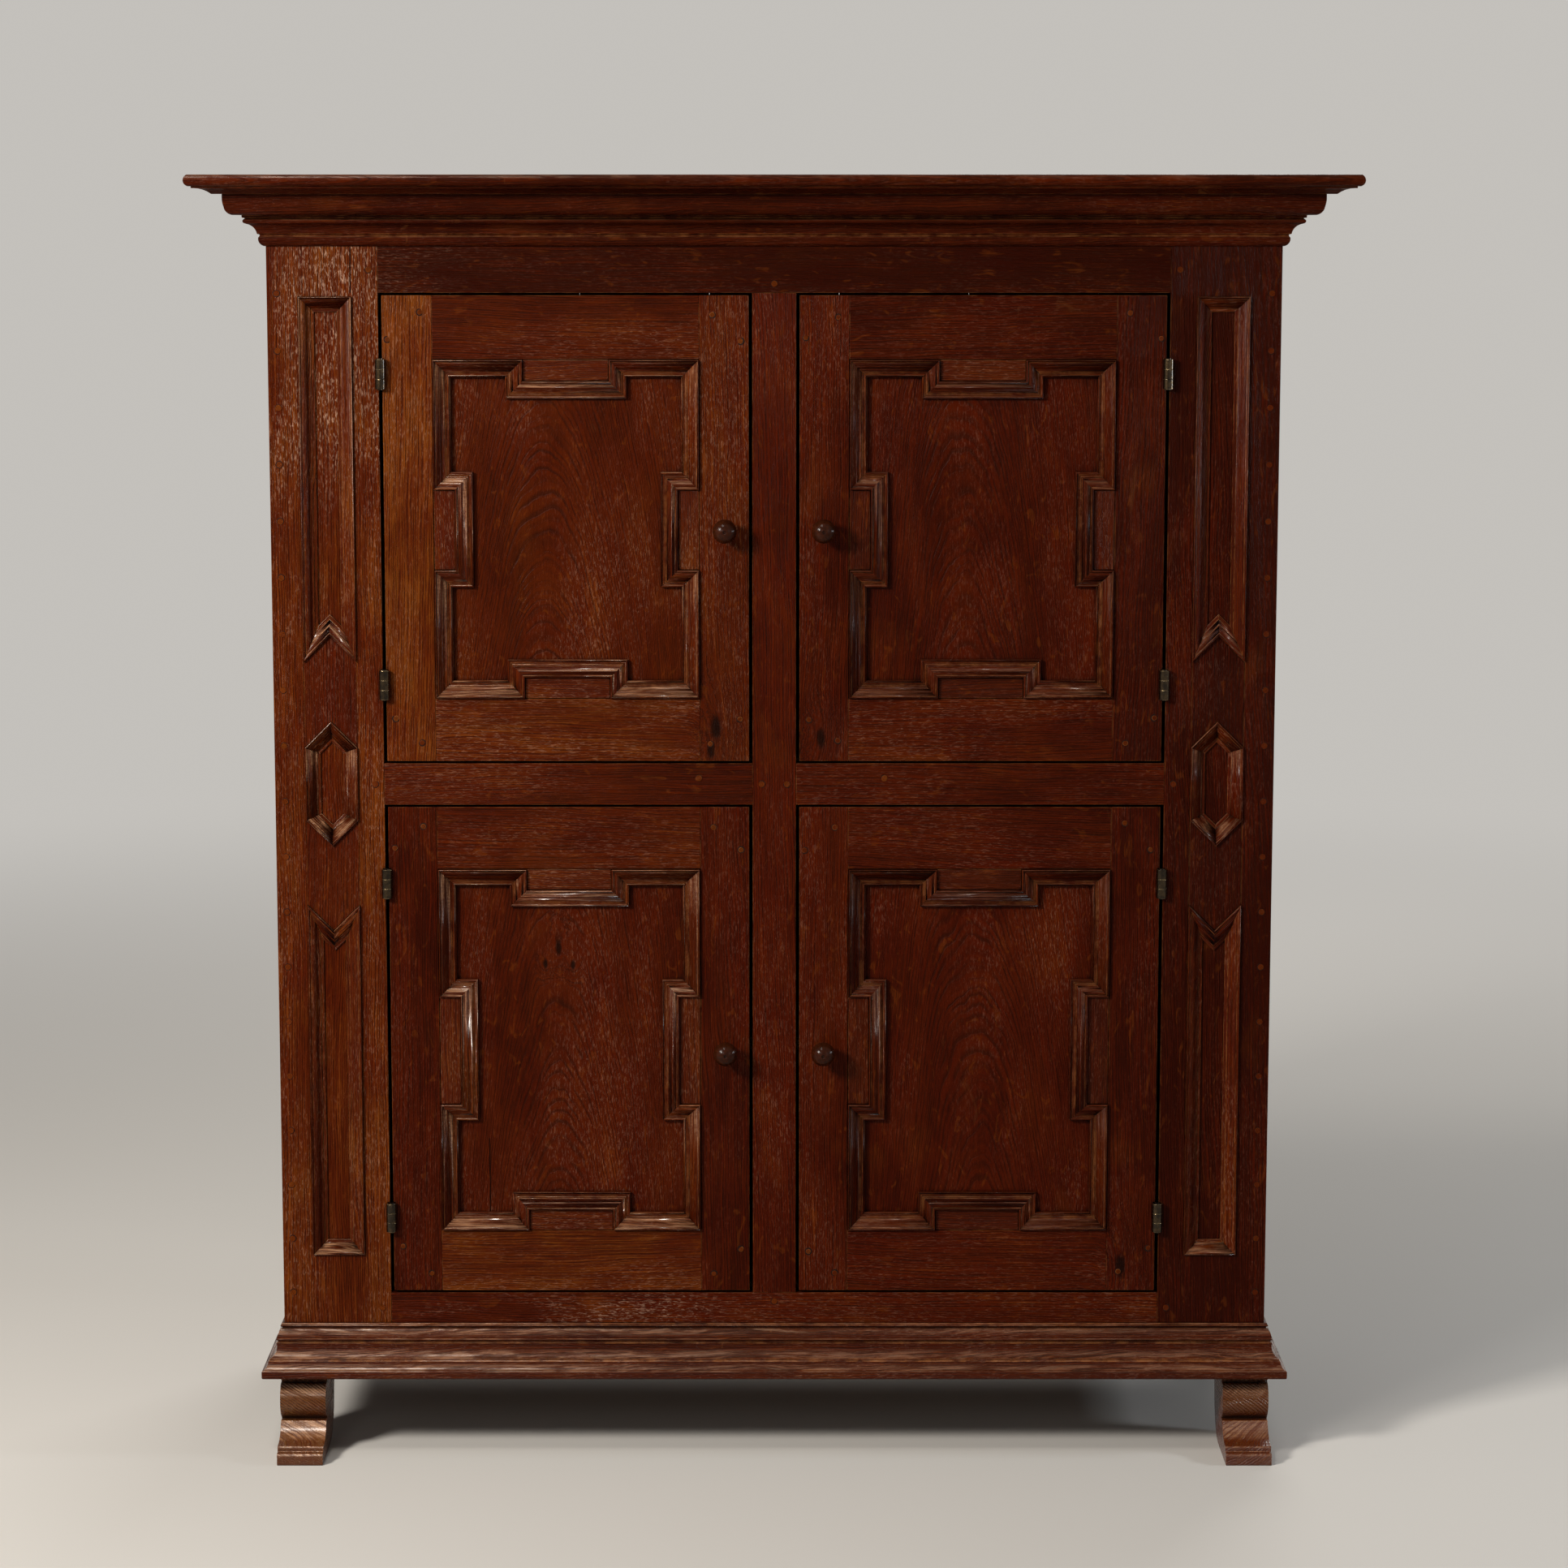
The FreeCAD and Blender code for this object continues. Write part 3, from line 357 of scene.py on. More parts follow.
def ring_group():
    """Growth rings round the pith of a log, with streaks and pores that follow them."""
    tree, given, end = group(
        "Growth rings",
        {
            "Log": ("Vector", None), "Ring Width": ("Float", 0.003), "Wander": ("Float", 0.004),
            "Pull": ("Float", 0.0),
        },
        {"Late": "Float", "Early": "Float", "Flow": "Float", "Dash": "Float"},
    )
    log = given["Log"]
    along, across, through = put(tree, "SeparateXYZ", {0: log}).outputs
    radius = between(tree, "LENGTH", joined(tree, 0.0, across, through))[1]
    drift = noise(tree, log, (2.2, 9.0, 9.0), roughness=0.55)
    ripple = noise(tree, log, (14.0, 42.0, 42.0))
    shift = times(tree, swing(tree, drift), 7.0)
    shift = calc(tree, "ADD", shift, times(tree, swing(tree, ripple), 1.1))
    radius = plus(tree, radius, shift, given["Wander"])
    radius = calc(tree, "ADD", radius, given["Pull"])
    turns = calc(tree, "DIVIDE", radius, given["Ring Width"])
    bunch = noise(tree, joined(tree, turns, 3.7, 1.1), 0.31, detail=1.0)
    turns = plus(tree, turns, bunch, 3.0)
    within = calc(tree, "FRACT", turns)
    early = times(tree, remap(tree, within, 0.0, 0.10), remap(tree, within, 0.22, 0.55, 1.0, 0.0))
    late = times(tree, remap(tree, within, 0.15, 0.70), remap(tree, within, 0.86, 1.0, 1.0, 0.0))
    course = joined(tree, times(tree, along, 7.0), turns, 4.4)
    flow = noise(tree, course, (2.2, 1.05, 1.0), detail=4.0, roughness=0.68)
    dash = noise(tree, course, (5.0, 2.3, 1.0), detail=1.0)
    feed(tree, end, {
        "Late": late, "Early": early,
        "Flow": remap(tree, flow, 0.26, 0.76), "Dash": remap(tree, dash, 0.42, 0.62),
    })


def fibre_group():
    """Fine streaks and short ridges along the grain, pale rays across it, broad patches of tone, smaller
    clouds of colour, and patches where a hazy reflection is painted."""
    tree, given, end = group(
        "Oak fibre",
        {"Log": ("Vector", None)},
        {
            "Streak": "Float", "Patch": "Float", "Fleck": "Float", "Ridge": "Float", "Cloud": "Float",
            "Painted Haze": "Float",
        },
    )
    log = given["Log"]
    streak = noise(tree, log, (9.0, 330.0, 330.0), detail=3.0, roughness=0.62)
    fleck = noise(tree, log, (26.0, 70.0, 240.0), roughness=0.55, distortion=1.4)
    ridge = noise(tree, log, (120.0, 520.0, 520.0), roughness=0.6, distortion=0.7)
    painted_haze = noise(tree, log, (10.0, 15.0, 15.0))
    feed(tree, end, {
        "Streak": remap(tree, streak, 0.28, 0.74),
        "Patch": noise(tree, log, (2.6, 10.0, 10.0), detail=3.0, roughness=0.6),
        "Fleck": remap(tree, fleck, 0.60, 0.72),
        "Ridge": remap(tree, ridge, 0.50, 0.70),
        "Cloud": noise(tree, log, (8.0, 17.0, 17.0), detail=4.0, roughness=0.62, distortion=0.4),
        "Painted Haze": remap(tree, painted_haze, 0.60, 0.78),
    })


def oak_group():
    """Waxed oak: colour, surface height and gloss from the rings, the fibre and each board's own tone, which
    also carries painted shade, with painted glints and haze.
    """
    tree, given, end = group(
        "Waxed oak",
        {
            "Log": ("Vector", None), "Tone": ("Float", 0.0), "Ruddy": ("Float", 0.0), "Pull": ("Float", 0.0),
            "Ring Width": ("Float", 0.003), "Wander": ("Float", 0.004), "Figure": ("Float", 0.6),
            "Dark": ("Color", (0.02, 0.005, 0.002, 1)), "Mid": ("Color", (0.09, 0.03, 0.01, 1)),
            "Light": ("Color", (0.2, 0.08, 0.03, 1)), "Glint": ("Color", (0.3, 0.15, 0.1, 1)),
            "Glint Amount": ("Float", 0.2),
        },
        {"Color": "Color", "Height": "Float", "Gloss": "Float", "Streak": "Float"},
    )
    rings = use(tree, "Growth rings", {key: given[key] for key in ("Log", "Ring Width", "Wander", "Pull")})
    fibre = use(tree, "Oak fibre", {"Log": given["Log"]})
    late, early, flow, dash = (rings[key] for key in ("Late", "Early", "Flow", "Dash"))
    streak, patch, fleck, ridge = (fibre[key] for key in ("Streak", "Patch", "Fleck", "Ridge"))
    dark, light, amount = given["Dark"], given["Light"], given["Glint Amount"]
    broad, cloudy = swing(tree, patch), swing(tree, fibre["Cloud"])

    # How light the wood is at each spot, from the sum of all that varies in it.
    level = plus(tree, 0.5, swing(tree, late), given["Figure"])
    for share, gain in (
        (swing(tree, flow), times(tree, given["Figure"], 2.2)), (swing(tree, streak), 0.16),
        (calc(tree, "SUBTRACT", ridge, 0.4), 0.16), (broad, 1.0), (cloudy, 0.6),
    ):
        level = plus(tree, level, share, gain)
    level = plus(tree, level, given["Tone"], 0.27, clamp=True)
    shade = blend(tree, remap(tree, level, -0.15, 0.58), dark, given["Mid"])
    shade = blend(tree, remap(tree, level, 0.45, 1.10), shade, light)

    # Golden or ruddy, then the rays, the painted haze of reflections, the painted glints on the ridges, fewer
    # on darker boards as if in shade, and the pores.
    golden, red = (1.0, 1.22, 1.2, 1), (1.0, 0.72, 0.72, 1)
    ruddy = plus(tree, given["Ruddy"], cloudy, -3.2)
    ruddy = plus(tree, 0.5, ruddy, 0.5, clamp=True)
    shade = blend(tree, 1.0, shade, blend(tree, ruddy, golden, red), "MULTIPLY")
    shade = blend(tree, times(tree, fleck, 0.26), shade, light)
    shade = blend(tree, times(tree, amount, 0.9, fibre["Painted Haze"]), shade, light)
    lit = times(tree, remap(tree, given["Tone"], -1.2, 0.6, 0.3, 1.2), amount)
    bright = times(tree, remap(tree, patch, 0.38, 0.62), lit, ridge)
    shade = blend(tree, bright, shade, given["Glint"])
    pore = times(tree, early, dash)
    shade = blend(tree, times(tree, pore, 0.55), shade, dark)

    height = times(tree, streak, 0.40)
    for share, gain in ((early, -0.25), (flow, 0.35), (ridge, 0.40), (pore, -0.55)):
        height = plus(tree, height, share, gain)
    gloss = plus(tree, times(tree, pore, 0.22), broad, 0.25)
    gloss = plus(tree, gloss, swing(tree, flow), -0.16)
    feed(tree, end, {"Color": shade, "Height": height, "Gloss": gloss, "Streak": flow})


def wear_group():
    """Rubbed edges, painted highlights on the ledges, old wax and dust with painted shade in the corners,
    scuffs and small dents.
    """
    tree, given, end = group(
        "Wear and grime",
        {
            "Color": ("Color", (0.1, 0.1, 0.1, 1)), "Position": ("Vector", None), "Edge": ("Float", 0.0),
            "Worn": ("Color", (0.3, 0.15, 0.07, 1)), "Grime and Shade": ("Color", (0.01, 0.005, 0.002, 1)),
            "Painted Highlight": ("Color", (0.3, 0.2, 0.15, 1)),
            "Wear Amount": ("Float", 0.6), "Grime Amount": ("Float", 0.8), "Reach": ("Float", 0.012),
            "Upward": ("Float", 0.0), "Ledge Amount": ("Float", 0.0), "Streak": ("Float", 0.5),
        },
        {"Color": "Color", "Dent": "Float", "Dull": "Float", "Ledge": "Float"},
    )
    place, upward, wear = given["Position"], given["Upward"], given["Wear Amount"]
    broken = remap(tree, noise(tree, place, 55.0, detail=3.0, roughness=0.65), 0.36, 0.66)
    shade = blend(tree, times(tree, given["Edge"], broken, wear), given["Color"], given["Worn"])

    # A pale highlight is painted on slopes that face up, and neither on upright faces nor on level ones.
    slope = times(tree, remap(tree, upward, 0.10, 0.62), remap(tree, upward, 0.99, 0.85))
    fine = noise(tree, place, (45.0, 420.0, 420.0), roughness=0.6)
    streaky = times(
        tree, remap(tree, given["Streak"], 0.25, 0.75, 0.15, 1.0), remap(tree, fine, 0.34, 0.66, 0.55, 1.1)
    )
    ledge = times(tree, slope, streaky, given["Ledge Amount"])
    shade = blend(tree, times(tree, ledge, 0.45), shade, given["Painted Highlight"])

    scratch = noise(tree, place, (30.0, 30.0, 9.0), detail=3.0, roughness=0.7, distortion=1.5)
    scuff = times(tree, remap(tree, scratch, 0.66, 0.76), wear)
    shade = blend(tree, times(tree, scuff, 0.30), shade, given["Worn"])
    # Painted shade as well as dust: darker in corners and creases, where other faces are near.
    uneven = noise(tree, place, 22.0, roughness=0.6)
    dirt_and_shade = remap(tree, plus(tree, sheltered(tree, given["Reach"]), uneven, 0.30), 0.90, 0.50)
    dirt_and_shade = times(tree, dirt_and_shade, given["Grime Amount"])
    dent = remap(tree, noise(tree, place, 26.0, detail=1.0), 0.70, 0.80)
    feed(tree, end, {
        "Color": blend(tree, dirt_and_shade, shade, given["Grime and Shade"]),
        "Dent": times(tree, dent, wear),
        "Dull": plus(tree, times(tree, scuff, 0.12), dirt_and_shade, 0.25),
        "Ledge": ledge,
    })


def knot_group():
    """A small knot: a dark heart, and a pull that bends the rings round it."""
    tree, given, end = group(
        "Knot",
        {
            "Position": ("Vector", None), "Centre": ("Vector", None), "Size": ("Float", 0.01),
            "Grain": ("Vector", (1, 1, 0.45)),
        },
        {"Heart": "Float", "Pull": "Float"},
    )
    away = between(tree, "SUBTRACT", given["Position"], given["Centre"])[0]
    away = between(tree, "MULTIPLY", away, given["Grain"])[0]
    reach = between(tree, "LENGTH", away)[1]
    ragged = plus(tree, 0.55, noise(tree, given["Position"], 160.0, detail=3.0, roughness=0.7), 0.9)
    near = calc(tree, "DIVIDE", reach, times(tree, given["Size"], ragged))
    pull = times(tree, given["Size"], 1.1, remap(tree, near, 4.0, 0.4))
    feed(tree, end, {"Heart": remap(tree, near, 1.0, 0.35), "Pull": pull})


def seam_group():
    """An open seam between two boards: a thin dark upright line."""
    tree, given, end = group(
        "Seam",
        {
            "Position": ("Vector", None), "Centre": ("Vector", None), "Half Height": ("Float", 0.1),
            "Half Width": ("Float", 0.0007),
        },
        {"Line": "Float"},
    )
    away = between(tree, "SUBTRACT", given["Position"], given["Centre"])[0]
    sideways, _, up = put(tree, "SeparateXYZ", {0: away}).outputs
    bent = plus(tree, sideways, noise(tree, given["Position"], 30.0, detail=1.0), 0.002)
    off = calc(tree, "ABSOLUTE", calc(tree, "SUBTRACT", bent, 0.001))
    off = calc(tree, "DIVIDE", off, given["Half Width"])
    over = calc(tree, "DIVIDE", calc(tree, "ABSOLUTE", up), given["Half Height"])
    feed(tree, end, {"Line": times(tree, remap(tree, off, 1.6, 0.6), remap(tree, over, 1.0, 0.92))})


# Materials


def material(name):
    """Makes a material under a short name. Returns its node tree and its shader."""
    made = bpy.data.materials.new(f"press_{name}")
    FINISHES[name] = made
    made.use_nodes = True
    tree = made.node_tree
    tree.nodes.clear()
    shader = put(tree, "BsdfPrincipled")
    put(tree, "OutputMaterial", {0: shader.outputs[0]})
    return tree, shader


def attribute(tree, name, output):
    """A value that the meshes carry."""
    return put(tree, "Attribute", attribute_name=name, attribute_type="GEOMETRY").outputs[output]


def place_on(tree):
    """The place on the object, in metres."""
    return put(tree, "TexCoord").outputs["Object"]


def oak(
    name, ring_width=1.0, wander=0.004, figure=0.16, relief=0.0005, rough=0.33, wear=0.22, grime_and_shade=0.8,
    reach=0.008, shine=0.03, ledge=0.0, glint=0.15, knots=(), seams=(), sheen_areas=(), tool_marks=0.0, palette=None,
):
    """A waxed oak material. The palette holds the dark, middle, light and worn colours."""
    tints = colours()
    dark, mid, light, worn = palette or (tints.oak_dark, tints.oak_mid, tints.oak_light, tints.worn)
    tree, shader = material(name)
    log, tone, place = attribute(tree, "log", "Vector"), attribute(tree, "tone", "Fac"), place_on(tree)
    heart, pull = 0.0, 0.0
    for centre, size, grain in knots:
        knot = use(tree, "Knot", {"Position": place, "Centre": centre, "Size": size, "Grain": grain})
        heart = calc(tree, "MAXIMUM", knot["Heart"], heart)
        pull = calc(tree, "ADD", knot["Pull"], pull)
    for centre, half_height in seams:
        seam = use(tree, "Seam", {"Position": place, "Centre": centre, "Half Height": half_height})
        heart = calc(tree, "MAXIMUM", seam["Line"], heart)
    # Painted sheen: more glinting ridges in these areas.
    for centre, size, grain in sheen_areas:
        area = use(tree, "Knot", {"Position": place, "Centre": centre, "Size": size, "Grain": grain})
        glint = plus(tree, glint, area["Heart"], 0.5)
    wood = use(tree, "Waxed oak", {
        "Log": log, "Tone": tone, "Ruddy": attribute(tree, "ruddy", "Fac"), "Pull": pull,
        "Ring Width": sizes().ring_width * ring_width, "Wander": wander, "Figure": figure,
        "Dark": rgba(dark), "Mid": rgba(mid), "Light": rgba(light), "Glint": rgba(tints.glint),
        "Glint Amount": glint,
    })
    shade = wood["Color"]
    if knots or seams:
        shade = blend(tree, times(tree, heart, 0.9), shade, rgba(tints.grime_and_shade))

    # Broad waves that the plane left, and the slanting cuts of a saw above the toes of the feet.
    waves = noise(tree, log, (5.0, 22.0, 22.0), detail=1.0)
    if tool_marks:
        slant = between(tree, "DOT_PRODUCT", place, (0.8, 0.5, 1.0))[1]
        cuts = calc(tree, "PINGPONG", plus(tree, slant, waves, 0.006), tool_marks)
        cuts = calc(tree, "DIVIDE", cuts, tool_marks)
        cuts = times(tree, cuts, remap(tree, part_of(tree, place, 2), 0.055, 0.066))
        shade = blend(tree, times(tree, cuts, 0.45), shade, rgba(worn))

    # The painted highlight on the ledges is stronger on lighter boards and on the left, where more light
    # falls.
    rubbed = times(tree, remap(tree, tone, -0.7, 0.0, 0.3, 1.0), ledge)
    rubbed = times(tree, remap(tree, part_of(tree, place, 0), -0.75, 0.35, 1.7, 0.8), rubbed)
    aged = use(tree, "Wear and grime", {
        "Color": shade, "Position": place, "Edge": attribute(tree, "edge", "Fac"), "Streak": wood["Streak"],
        "Worn": rgba(worn), "Grime and Shade": rgba(tints.grime_and_shade), "Painted Highlight": rgba(tints.ledge), "Reach": reach,
        "Wear Amount": wear, "Grime Amount": grime_and_shade, "Ledge Amount": rubbed,
        "Upward": part_of(tree, put(tree, "NewGeometry").outputs["Normal"], 2),
    })
    dull = calc(tree, "ADD", wood["Gloss"], aged["Dull"])
    feed(tree, shader, {
        "Base Color": aged["Color"], "Roughness": calc(tree, "ADD", dull, rough, clamp=True),
        "Specular IOR Level": shine,
    })
    if ledge:
        polish = calc(tree, "MULTIPLY", aged["Ledge"], 1.3, clamp=True)
        feed(tree, shader, {"Coat Weight": polish, "Coat Roughness": 0.2})
    height = plus(tree, wood["Height"], aged["Dent"], -0.9)
    height = plus(tree, height, heart, -1.2)
    height = plus(tree, height, waves, 2.6)
    if tool_marks:
        height = plus(tree, height, cuts, 2.6)
    emboss(tree, shader, height, relief)


def knob_material():
    """Dark turned wood with fine lathe rings, rubbed by hands."""
    tints = colours()
    tree, shader = material("knob_wood")
    log = attribute(tree, "log", "Vector")
    grain = noise(tree, log, (12.0, 220.0, 220.0), detail=3.0, roughness=0.6)
    rubbed = remap(tree, noise(tree, place_on(tree), 90.0, detail=3.0, roughness=0.6), 0.45, 0.72)
    shade = blend(tree, remap(tree, grain, 0.35, 0.75), rgba(tints.knob), rgba(scaled(tints.knob, 1.8)))
    shade = blend(tree, times(tree, rubbed, 0.12), shade, rgba(tints.oak_mid))
    # Painted shade: darker where the knob's own curves shelter it.
    shade = blend(tree, remap(tree, sheltered(tree, 0.008), 0.85, 0.35), shade, rgba(tints.grime_and_shade))
    feed(tree, shader, {
        "Base Color": shade, "Roughness": remap(tree, rubbed, 0.0, 1.0, 0.16, 0.24),
        "Specular IOR Level": 0.10,
    })
    turned = put(tree, "TexWave", {
        "Vector": between(tree, "MULTIPLY", log, (520.0, 0.0, 0.0))[0], "Scale": 1.0, "Distortion": 1.5,
        "Detail": 1.0,
    }, bands_direction="X").outputs["Fac"]
    emboss(tree, shader, plus(tree, times(tree, grain, 0.6), turned, 0.25), 0.0001)


def wax_material():
    """Dark wax and dust that has settled round the pegs."""
    tints = colours()
    tree, shader = material("old_wax")
    cloud = noise(tree, place_on(tree), 300.0)
    shade = blend(tree, remap(tree, cloud, 0.35, 0.7), rgba(tints.grime_and_shade), rgba(tints.oak_dark))
    feed(tree, shader, {"Base Color": shade, "Roughness": 0.55, "Specular IOR Level": 0.1})
    emboss(tree, shader, cloud, 0.0002)


def metal_material(name, base, bright, rough):
    """Old metal: a dark skin, rubbed bright in patches and on the edges."""
    tree, shader = material(name)
    place = place_on(tree)
    cloud = noise(tree, place, 140.0, detail=4.0, roughness=0.65)
    lines = noise(tree, place, (900.0, 900.0, 60.0))
    shade = blend(tree, remap(tree, cloud, 0.38, 0.68), rgba(scaled(base, 0.28)), rgba(base))
    edge = times(tree, attribute(tree, "edge", "Fac"), remap(tree, cloud, 0.35, 0.6))
    shade = blend(tree, times(tree, edge, 0.7), shade, rgba(bright))
    # Painted shade: darker where the hinge is sheltered.
    shade = blend(tree, remap(tree, sheltered(tree, 0.004), 0.8, 0.3), shade, rgba(colours().grime_and_shade))
    feed(tree, shader, {
        "Base Color": shade, "Roughness": remap(tree, cloud, 0.3, 0.7, rough + 0.18, rough), "Metallic": 1.0,
        "Coat Weight": 0.35, "Coat Roughness": 0.14,
    })
    emboss(tree, shader, plus(tree, cloud, lines, 0.5), 0.00025)


def make_materials():
    """Builds the node groups, then the materials that use them."""
    for build in (ring_group, fibre_group, oak_group, wear_group, knot_group, seam_group):
        build()
    tints = colours()
    oak("oak_frame", relief=0.0007, seams=STILE_SEAMS, sheen_areas=SHEEN_AREAS)
    oak("oak_door", relief=0.0006, knots=DOOR_KNOTS)
    oak("oak_panel", ring_width=0.72, wander=0.0024, figure=0.10, knots=PANEL_KNOTS, seams=PANEL_SEAMS)
    moulded = {"ring_width": 0.8, "figure": 0.14, "relief": 0.0006, "rough": 0.25, "reach": 0.006}
    oak("oak_moulding", wear=0.4, shine=0.05, ledge=0.8, **moulded)
    oak("oak_cornice", wear=0.6, ledge=0.6, **moulded)
    oak("oak_base", ring_width=0.8, relief=0.0009, rough=0.22, wear=0.8, grime_and_shade=1.0, reach=0.016, shine=0.08,
        ledge=0.85, glint=0.2)
    dull_light, dull_worn = scaled(tints.oak_light, 0.6), scaled(tints.worn, 0.6)
    oak("oak_foot", figure=0.14, relief=0.0007, rough=0.24, wear=0.6, shine=0.34, ledge=1.0,
        tool_marks=0.0024, palette=(tints.oak_mid, dull_light, dull_worn, tints.worn))
    oak("oak_peg", ring_width=0.45, relief=0.0003, wear=0.7, grime_and_shade=0.4, reach=0.003, glint=0.0,
        palette=(tints.oak_mid, dull_light, tints.oak_light, tints.worn))
    shadow, pale = scaled(tints.inside, 0.35), scaled(tints.inside, 1.5)
    oak("oak_inside", figure=0.12, relief=0.0004, rough=0.62, wear=0.3, grime_and_shade=0.5, shine=0.2, glint=0.06,
        palette=(shadow, tints.inside, pale, pale))
    wax_material()
    knob_material()
    metal_material("hinge_metal", tints.metal, tints.metal_bright, 0.22)
    metal_material("iron", tints.iron, tints.iron_bright, 0.45)


# Boards. Dictionaries take the place of sets here, because they keep their order from run to run.


def islands(bm):
    """The separate solids of a mesh, as lists of vertices."""
    left, found = dict.fromkeys(bm.verts), []
    while left:
        todo, piece = [next(iter(left))], []
        del left[todo[0]]
        while todo:
            vert = todo.pop()
            piece.append(vert)
            for edge in vert.link_edges:
                other = edge.other_vert(vert)
                if other in left:
                    del left[other]
                    todo.append(other)
        found.append(piece)
    return found


def weld(bm):
    """Joins the faces of each solid, in their order in the mesh, and keeps solids that touch apart."""
    solids, faces, unpaired = [], [], set()
    for face in bm.faces:
        faces.append(face)
        corners = [vert.co.to_tuple(WELD_DIGITS) for vert in face.verts]
        for first, second in zip(corners, corners[1:] + corners[:1]):
            unpaired ^= {frozenset((first, second))}
        if not unpaired:
            solids.append(faces)
            faces = []
    for faces in solids + [faces]:
        verts = list(dict.fromkeys(vert for face in faces for vert in face.verts))
        bmesh.ops.remove_doubles(bm, verts=verts, dist=WELD_DISTANCE)


def solids_of(node):
    """A mesh of a CAD node, with each of its solids closed."""
    bm = bmesh.new()
    bm.from_mesh(NODES[node].data)
    weld(bm)
    return bm


def middle_of(piece):
    """The middle of a piece's box, and its extent."""
    low = Vector([min(vert.co[i] for vert in piece) for i in range(3)])
    high = Vector([max(vert.co[i] for vert in piece) for i in range(3)])
    return (low + high) / 2, high - low


def by_place(middle):
    """Sorts from left to right, then from front to back, then upwards, to the millimetre."""
    return tuple(round(value, 3) for value in middle)


def centres(node):
    """The middles of the separate solids of a CAD node, in order of place."""
    bm = solids_of(node)
    found = [middle_of(piece)[0] for piece in islands(bm)]
    bm.free()
    return sorted(found, key=by_place)


def grain_of(piece, grain):
    """The middle of a board, the way of its grain, along most of its edges unless given, and of its face."""
    centre, extent = middle_of(piece)
    along = grain
    if grain is None:
        runs = {}
        for edge in dict.fromkeys(edge for vert in piece for edge in vert.link_edges):
            run = edge.verts[1].co - edge.verts[0].co
            way = run.normalized() if run.dot(FORWARD) > 0 else -run.normalized()
            runs[way.to_tuple(2)] = runs.get(way.to_tuple(2), 0.0) + run.length
        along = Vector(max(runs, key=runs.get)).normalized()
    # The face looks along the axis that is most across the grain and, of those, along the thinnest way.
    thin = min((X, Y, Z), key=lambda axis: abs(axis.dot(along)) * 10 + abs(extent.dot(axis)))
    face = (thin - along * thin.dot(along)).normalized()
    return centre, along, face


def lay_log(chance, saw):
    """Where a board lies in its log: its start along the log, the pith's place sideways and behind the face,
    and how far the pith leans from the board in those two directions."""
    start = chance.uniform(0.0, LOG_LENGTH)
    if saw == "flat":
        pith = Vector((start, chance.uniform(-0.05, 0.05), chance.uniform(0.09, 0.15)))
        lean = Vector((chance.uniform(-0.03, 0.03), chance.uniform(0.09, 0.16)))
    elif saw == "end":
        pith = Vector((start, chance.uniform(-0.04, 0.04), chance.uniform(-0.04, 0.04)))
        lean = Vector((0.0, 0.0))
    else:
        sideways = chance.choice((-1, 1)) * chance.uniform(0.14, 0.32)
        pith = Vector((start, sideways, chance.uniform(0.04, 0.16)))
        lean = Vector((chance.uniform(-0.03, 0.03), chance.uniform(-0.04, 0.04)))
    return pith, lean


def wood_layers(bm):
    """What the materials read from a mesh: place in the log, tone and ruddiness, and worn edges."""
    corners = bm.verts.layers
    log, tone, ruddy = corners.float_vector.new("log"), corners.float.new("tone"), corners.float.new("ruddy")
    return log, tone, ruddy, bm.faces.layers.float.new("edge")


def round_edges(bm, width, worn, box):
    """Rounds the sharp edges, marks the new faces as worn, and keeps the mesh within its box."""
    sharp = [
        edge for edge in bm.edges
        if len(edge.link_faces) == 2
        and edge.calc_face_angle(0.0) > SHARP_ANGLE
        and edge.calc_length() > width * SHORTEST_EDGE
    ]
    made = bmesh.ops.bevel(
        bm, geom=sharp, offset=width, offset_type="OFFSET", segments=2, profile=0.6, affect="EDGES",
        clamp_overlap=False,
    )
    for face in made["faces"]:
        face[worn] = 1.0
    low, high = box
    for vert in bm.verts:
        vert.co = [min(max(value, least), most) for value, least, most in zip(vert.co, low, high)]


def dress(
    node, finish, grain=None, saw="rift", edge=None, tones=None, around=(0.0, 0.0), spread=TONE_SPREAD,
    smooth=BOARD_SMOOTH,
):
    """Makes the shown piece for a CAD node: welds and rounds its boards, lays a log's grain through each of
    them, and gives them their own tone. Tones are (tone, ruddy) for each board in order of place."""
    bm = solids_of(node)
    bmesh.ops.dissolve_limit(
        bm, angle_limit=FLAT_ANGLE, verts=bm.verts, edges=bm.edges, use_dissolve_boundaries=False
    )
    log, tone, ruddy, worn = wood_layers(bm)
    boards = sorted(islands(bm), key=lambda board: by_place(middle_of(board)[0]))
    for count, board in enumerate(boards):
        chance = random.Random(f"{node} {count}")
        centre, along, face = grain_of(board, grain)
        across = face.cross(along)
        pith, lean = lay_log(chance, saw)
        own = tones[count] if tones else [value + chance.uniform(-spread, spread) for value in around]
        for vert in board:
            away = vert.co - centre
            run = away.dot(along)
            vert[log] = Vector((
                run + pith.x,
                away.dot(across) + pith.y + lean.x * run,
                away.dot(face) + pith.z + lean.y * run,
            ))
            vert[tone], vert[ruddy] = own
    width = sizes().board_edge if edge is None else edge
    if width:
        round_edges(bm, width, worn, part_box(node))
    finish_piece(bm, f"{node}_dressed", finish, NODES[node]["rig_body"], node, smooth)


def dress_moulding(node, finish, tone, grain=None, spread=TONE_SPREAD):
    """Makes the shown piece for moulded lengths, with finer arrises."""
    dress(node, finish, grain, edge=sizes().moulding_edge, around=tone, spread=spread, smooth=MOULDING_SMOOTH)


